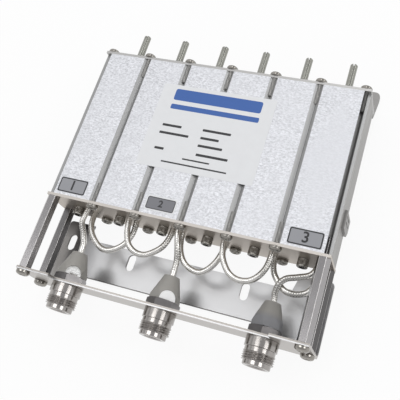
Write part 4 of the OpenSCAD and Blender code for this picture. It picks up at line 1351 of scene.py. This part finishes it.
class DUPLEXER_OT_bracket(bpy.types.Operator):
    """Cuts the notch and the left wing's edge of the front bracket, and tapers the rear bracket's foot"""

    bl_idname = "duplexer.bracket"
    bl_label = "Brackets"

    def execute(self, context):
        self.front_bracket()
        self.rear_bracket()
        return {"FINISHED"}

    def front_bracket(self):
        """The wide notch in the flange's upper edge, and the left wing's inner edge."""
        tone = colours()
        # The flange's face and the sheet's ends get painted shade, and the foot its painted shade and shadow
        face = (tone.shaded_sheet_front, FACE_Y, corners("front_bracket")[1][0])
        satin = brushed("Satin_sheet", tone.sheet, 0.3, 0.002, metal=0.9, face=face, more=foot_shade_tones)
        notch_low = (-NOTCH_HALF, FACE_Y - 1, TOP_Z - NOTCH_DEPTH)
        notch = block(notch_low, (NOTCH_HALF, FACE_Y + SHEET_T + 1, TOP_Z + 1))
        wing_x = -62.4
        trim = block((wing_x, FACE_Y + FOOT_L, -1), (-50, FACE_Y + 45, 3))
        self.cut_sheet("front_bracket", "notched_bracket", satin, [notch, trim])

    def rear_bracket(self):
        """Wedges that narrow the foot towards the bend at both ends, and less so higher up."""
        taper, past = 2.2, 3.0
        end_x, bend_y = HOUSING_HIGH[0] + 0.4, FAR_Y - 1
        foot_y = corners("rear_bracket")[1][1] - 1.0
        outside = [(end_x + past, bend_y), (end_x + past, foot_y), (end_x, foot_y)]
        lower, upper = [(end_x - taper, bend_y), *outside], [(end_x, bend_y), *outside]
        wedge = np.stack([np.insert(lower, 2, -1.0, axis=1), np.insert(upper, 2, 11.0, axis=1)])
        ends = [skin(wedge), skin(wedge * (-1, 1, 1))]
        self.cut_sheet("rear_bracket", "tapered_rear_bracket", dull_sheet("Dull_bracket"), ends)

    def cut_sheet(self, node, name, material, cutters):
        """A copy of a packed sheet, merged to one skin, in place of it, with cuts."""
        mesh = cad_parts[node].data.copy()
        merged = bmesh.new()
        merged.from_mesh(mesh)
        bmesh.ops.remove_doubles(merged, verts=merged.verts, dist=0.001 * MM)
        merged.to_mesh(mesh)
        merged.free()
        mesh.polygons.foreach_set("use_smooth", np.ones(len(mesh.polygons), bool))
        sheet = add(name, mesh, material, node)
        carve(sheet, cutters, 30)
        even = sheet.modifiers.new("Flat_faces_stay_flat", "WEIGHTED_NORMAL")
        even.keep_sharp = True


class DUPLEXER_OT_metalwork(bpy.types.Operator):
    """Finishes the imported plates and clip, and the pieces inside the cavities"""

    bl_idname = "duplexer.metalwork"
    bl_label = "Metalwork"

    def execute(self, context):
        tone = colours()
        plate = {"rough": 0.36, "depth": 0.006, "stretch": 0.15, "size": 1.6}
        # The near plate's face and its ends beyond the housing get painted shade
        face = (tone.shaded_plate_front, NEAR_Y, HOUSING_HIGH[0])
        dress(["near_end_plate"], brushed("Champagne_plate", tone.plate, face=face, **plate))
        dress(["far_end_plate"], brushed("Grey_plate", tone.far_plate, spread=0.08, **plate))
        dress(["side_clip"], dull_sheet("Dull_sheet"))
        dress(["tuning_lock_nuts"], polished("Lock_nut", tone.nut, 0.24, 0.3))
        dress(["tuning_bushings"], polished("Bushing_brass", tone.brass, 0.24, 0.3))
        copper = polished("Copper", tone.copper, 0.22, 0.3)
        dress(["coupling_loops"] + [f"resonator_{i}" for i in CAVITIES], copper)
        return {"FINISHED"}


class DUPLEXER_PT_panel(bpy.types.Panel):
    """Lists the steps of the duplexer in the order in which they run, then its sizes and colours"""

    bl_idname = "DUPLEXER_PT_panel"
    bl_label = "Duplexer"
    bl_space_type = "VIEW_3D"
    bl_region_type = "UI"
    bl_category = "Duplexer"

    def draw(self, context):
        for step in STEPS:
            self.layout.operator(step.bl_idname)
        for group in (sizes(), colours()):
            for key in group.__annotations__:
                self.layout.prop(group, key)


STEPS = (
    DUPLEXER_OT_stage,
    DUPLEXER_OT_cables,
    DUPLEXER_OT_housing,
    DUPLEXER_OT_bracket,
    DUPLEXER_OT_metalwork,
    DUPLEXER_OT_sockets,
    DUPLEXER_OT_hoods,
    DUPLEXER_OT_standoffs,
    DUPLEXER_OT_rods,
    DUPLEXER_OT_screws,
    DUPLEXER_OT_cap_screws,
    DUPLEXER_OT_labels,
)
CLASSES = (DuplexerSizes, DuplexerColours, *STEPS, DUPLEXER_PT_panel)


def register():
    """Registers the classes, and gives the scene its sizes and colours."""
    for cls in CLASSES:
        bpy.utils.register_class(cls)
    bpy.types.Scene.duplexer_sizes = bpy.props.PointerProperty(type=DuplexerSizes)
    bpy.types.Scene.duplexer_colours = bpy.props.PointerProperty(type=DuplexerColours)


def unregister():
    """Takes back what register adds."""
    del bpy.types.Scene.duplexer_sizes
    del bpy.types.Scene.duplexer_colours
    for cls in reversed(CLASSES):
        bpy.utils.unregister_class(cls)


def main():
    """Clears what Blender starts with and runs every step."""
    register()
    for name in ("Cube", "Light", "Camera"):
        if name in bpy.data.objects:
            bpy.data.objects.remove(bpy.data.objects[name])
    for step in STEPS:
        group, call = step.bl_idname.split(".")
        getattr(getattr(bpy.ops, group), call)()


if __name__ == "__main__":
    main()
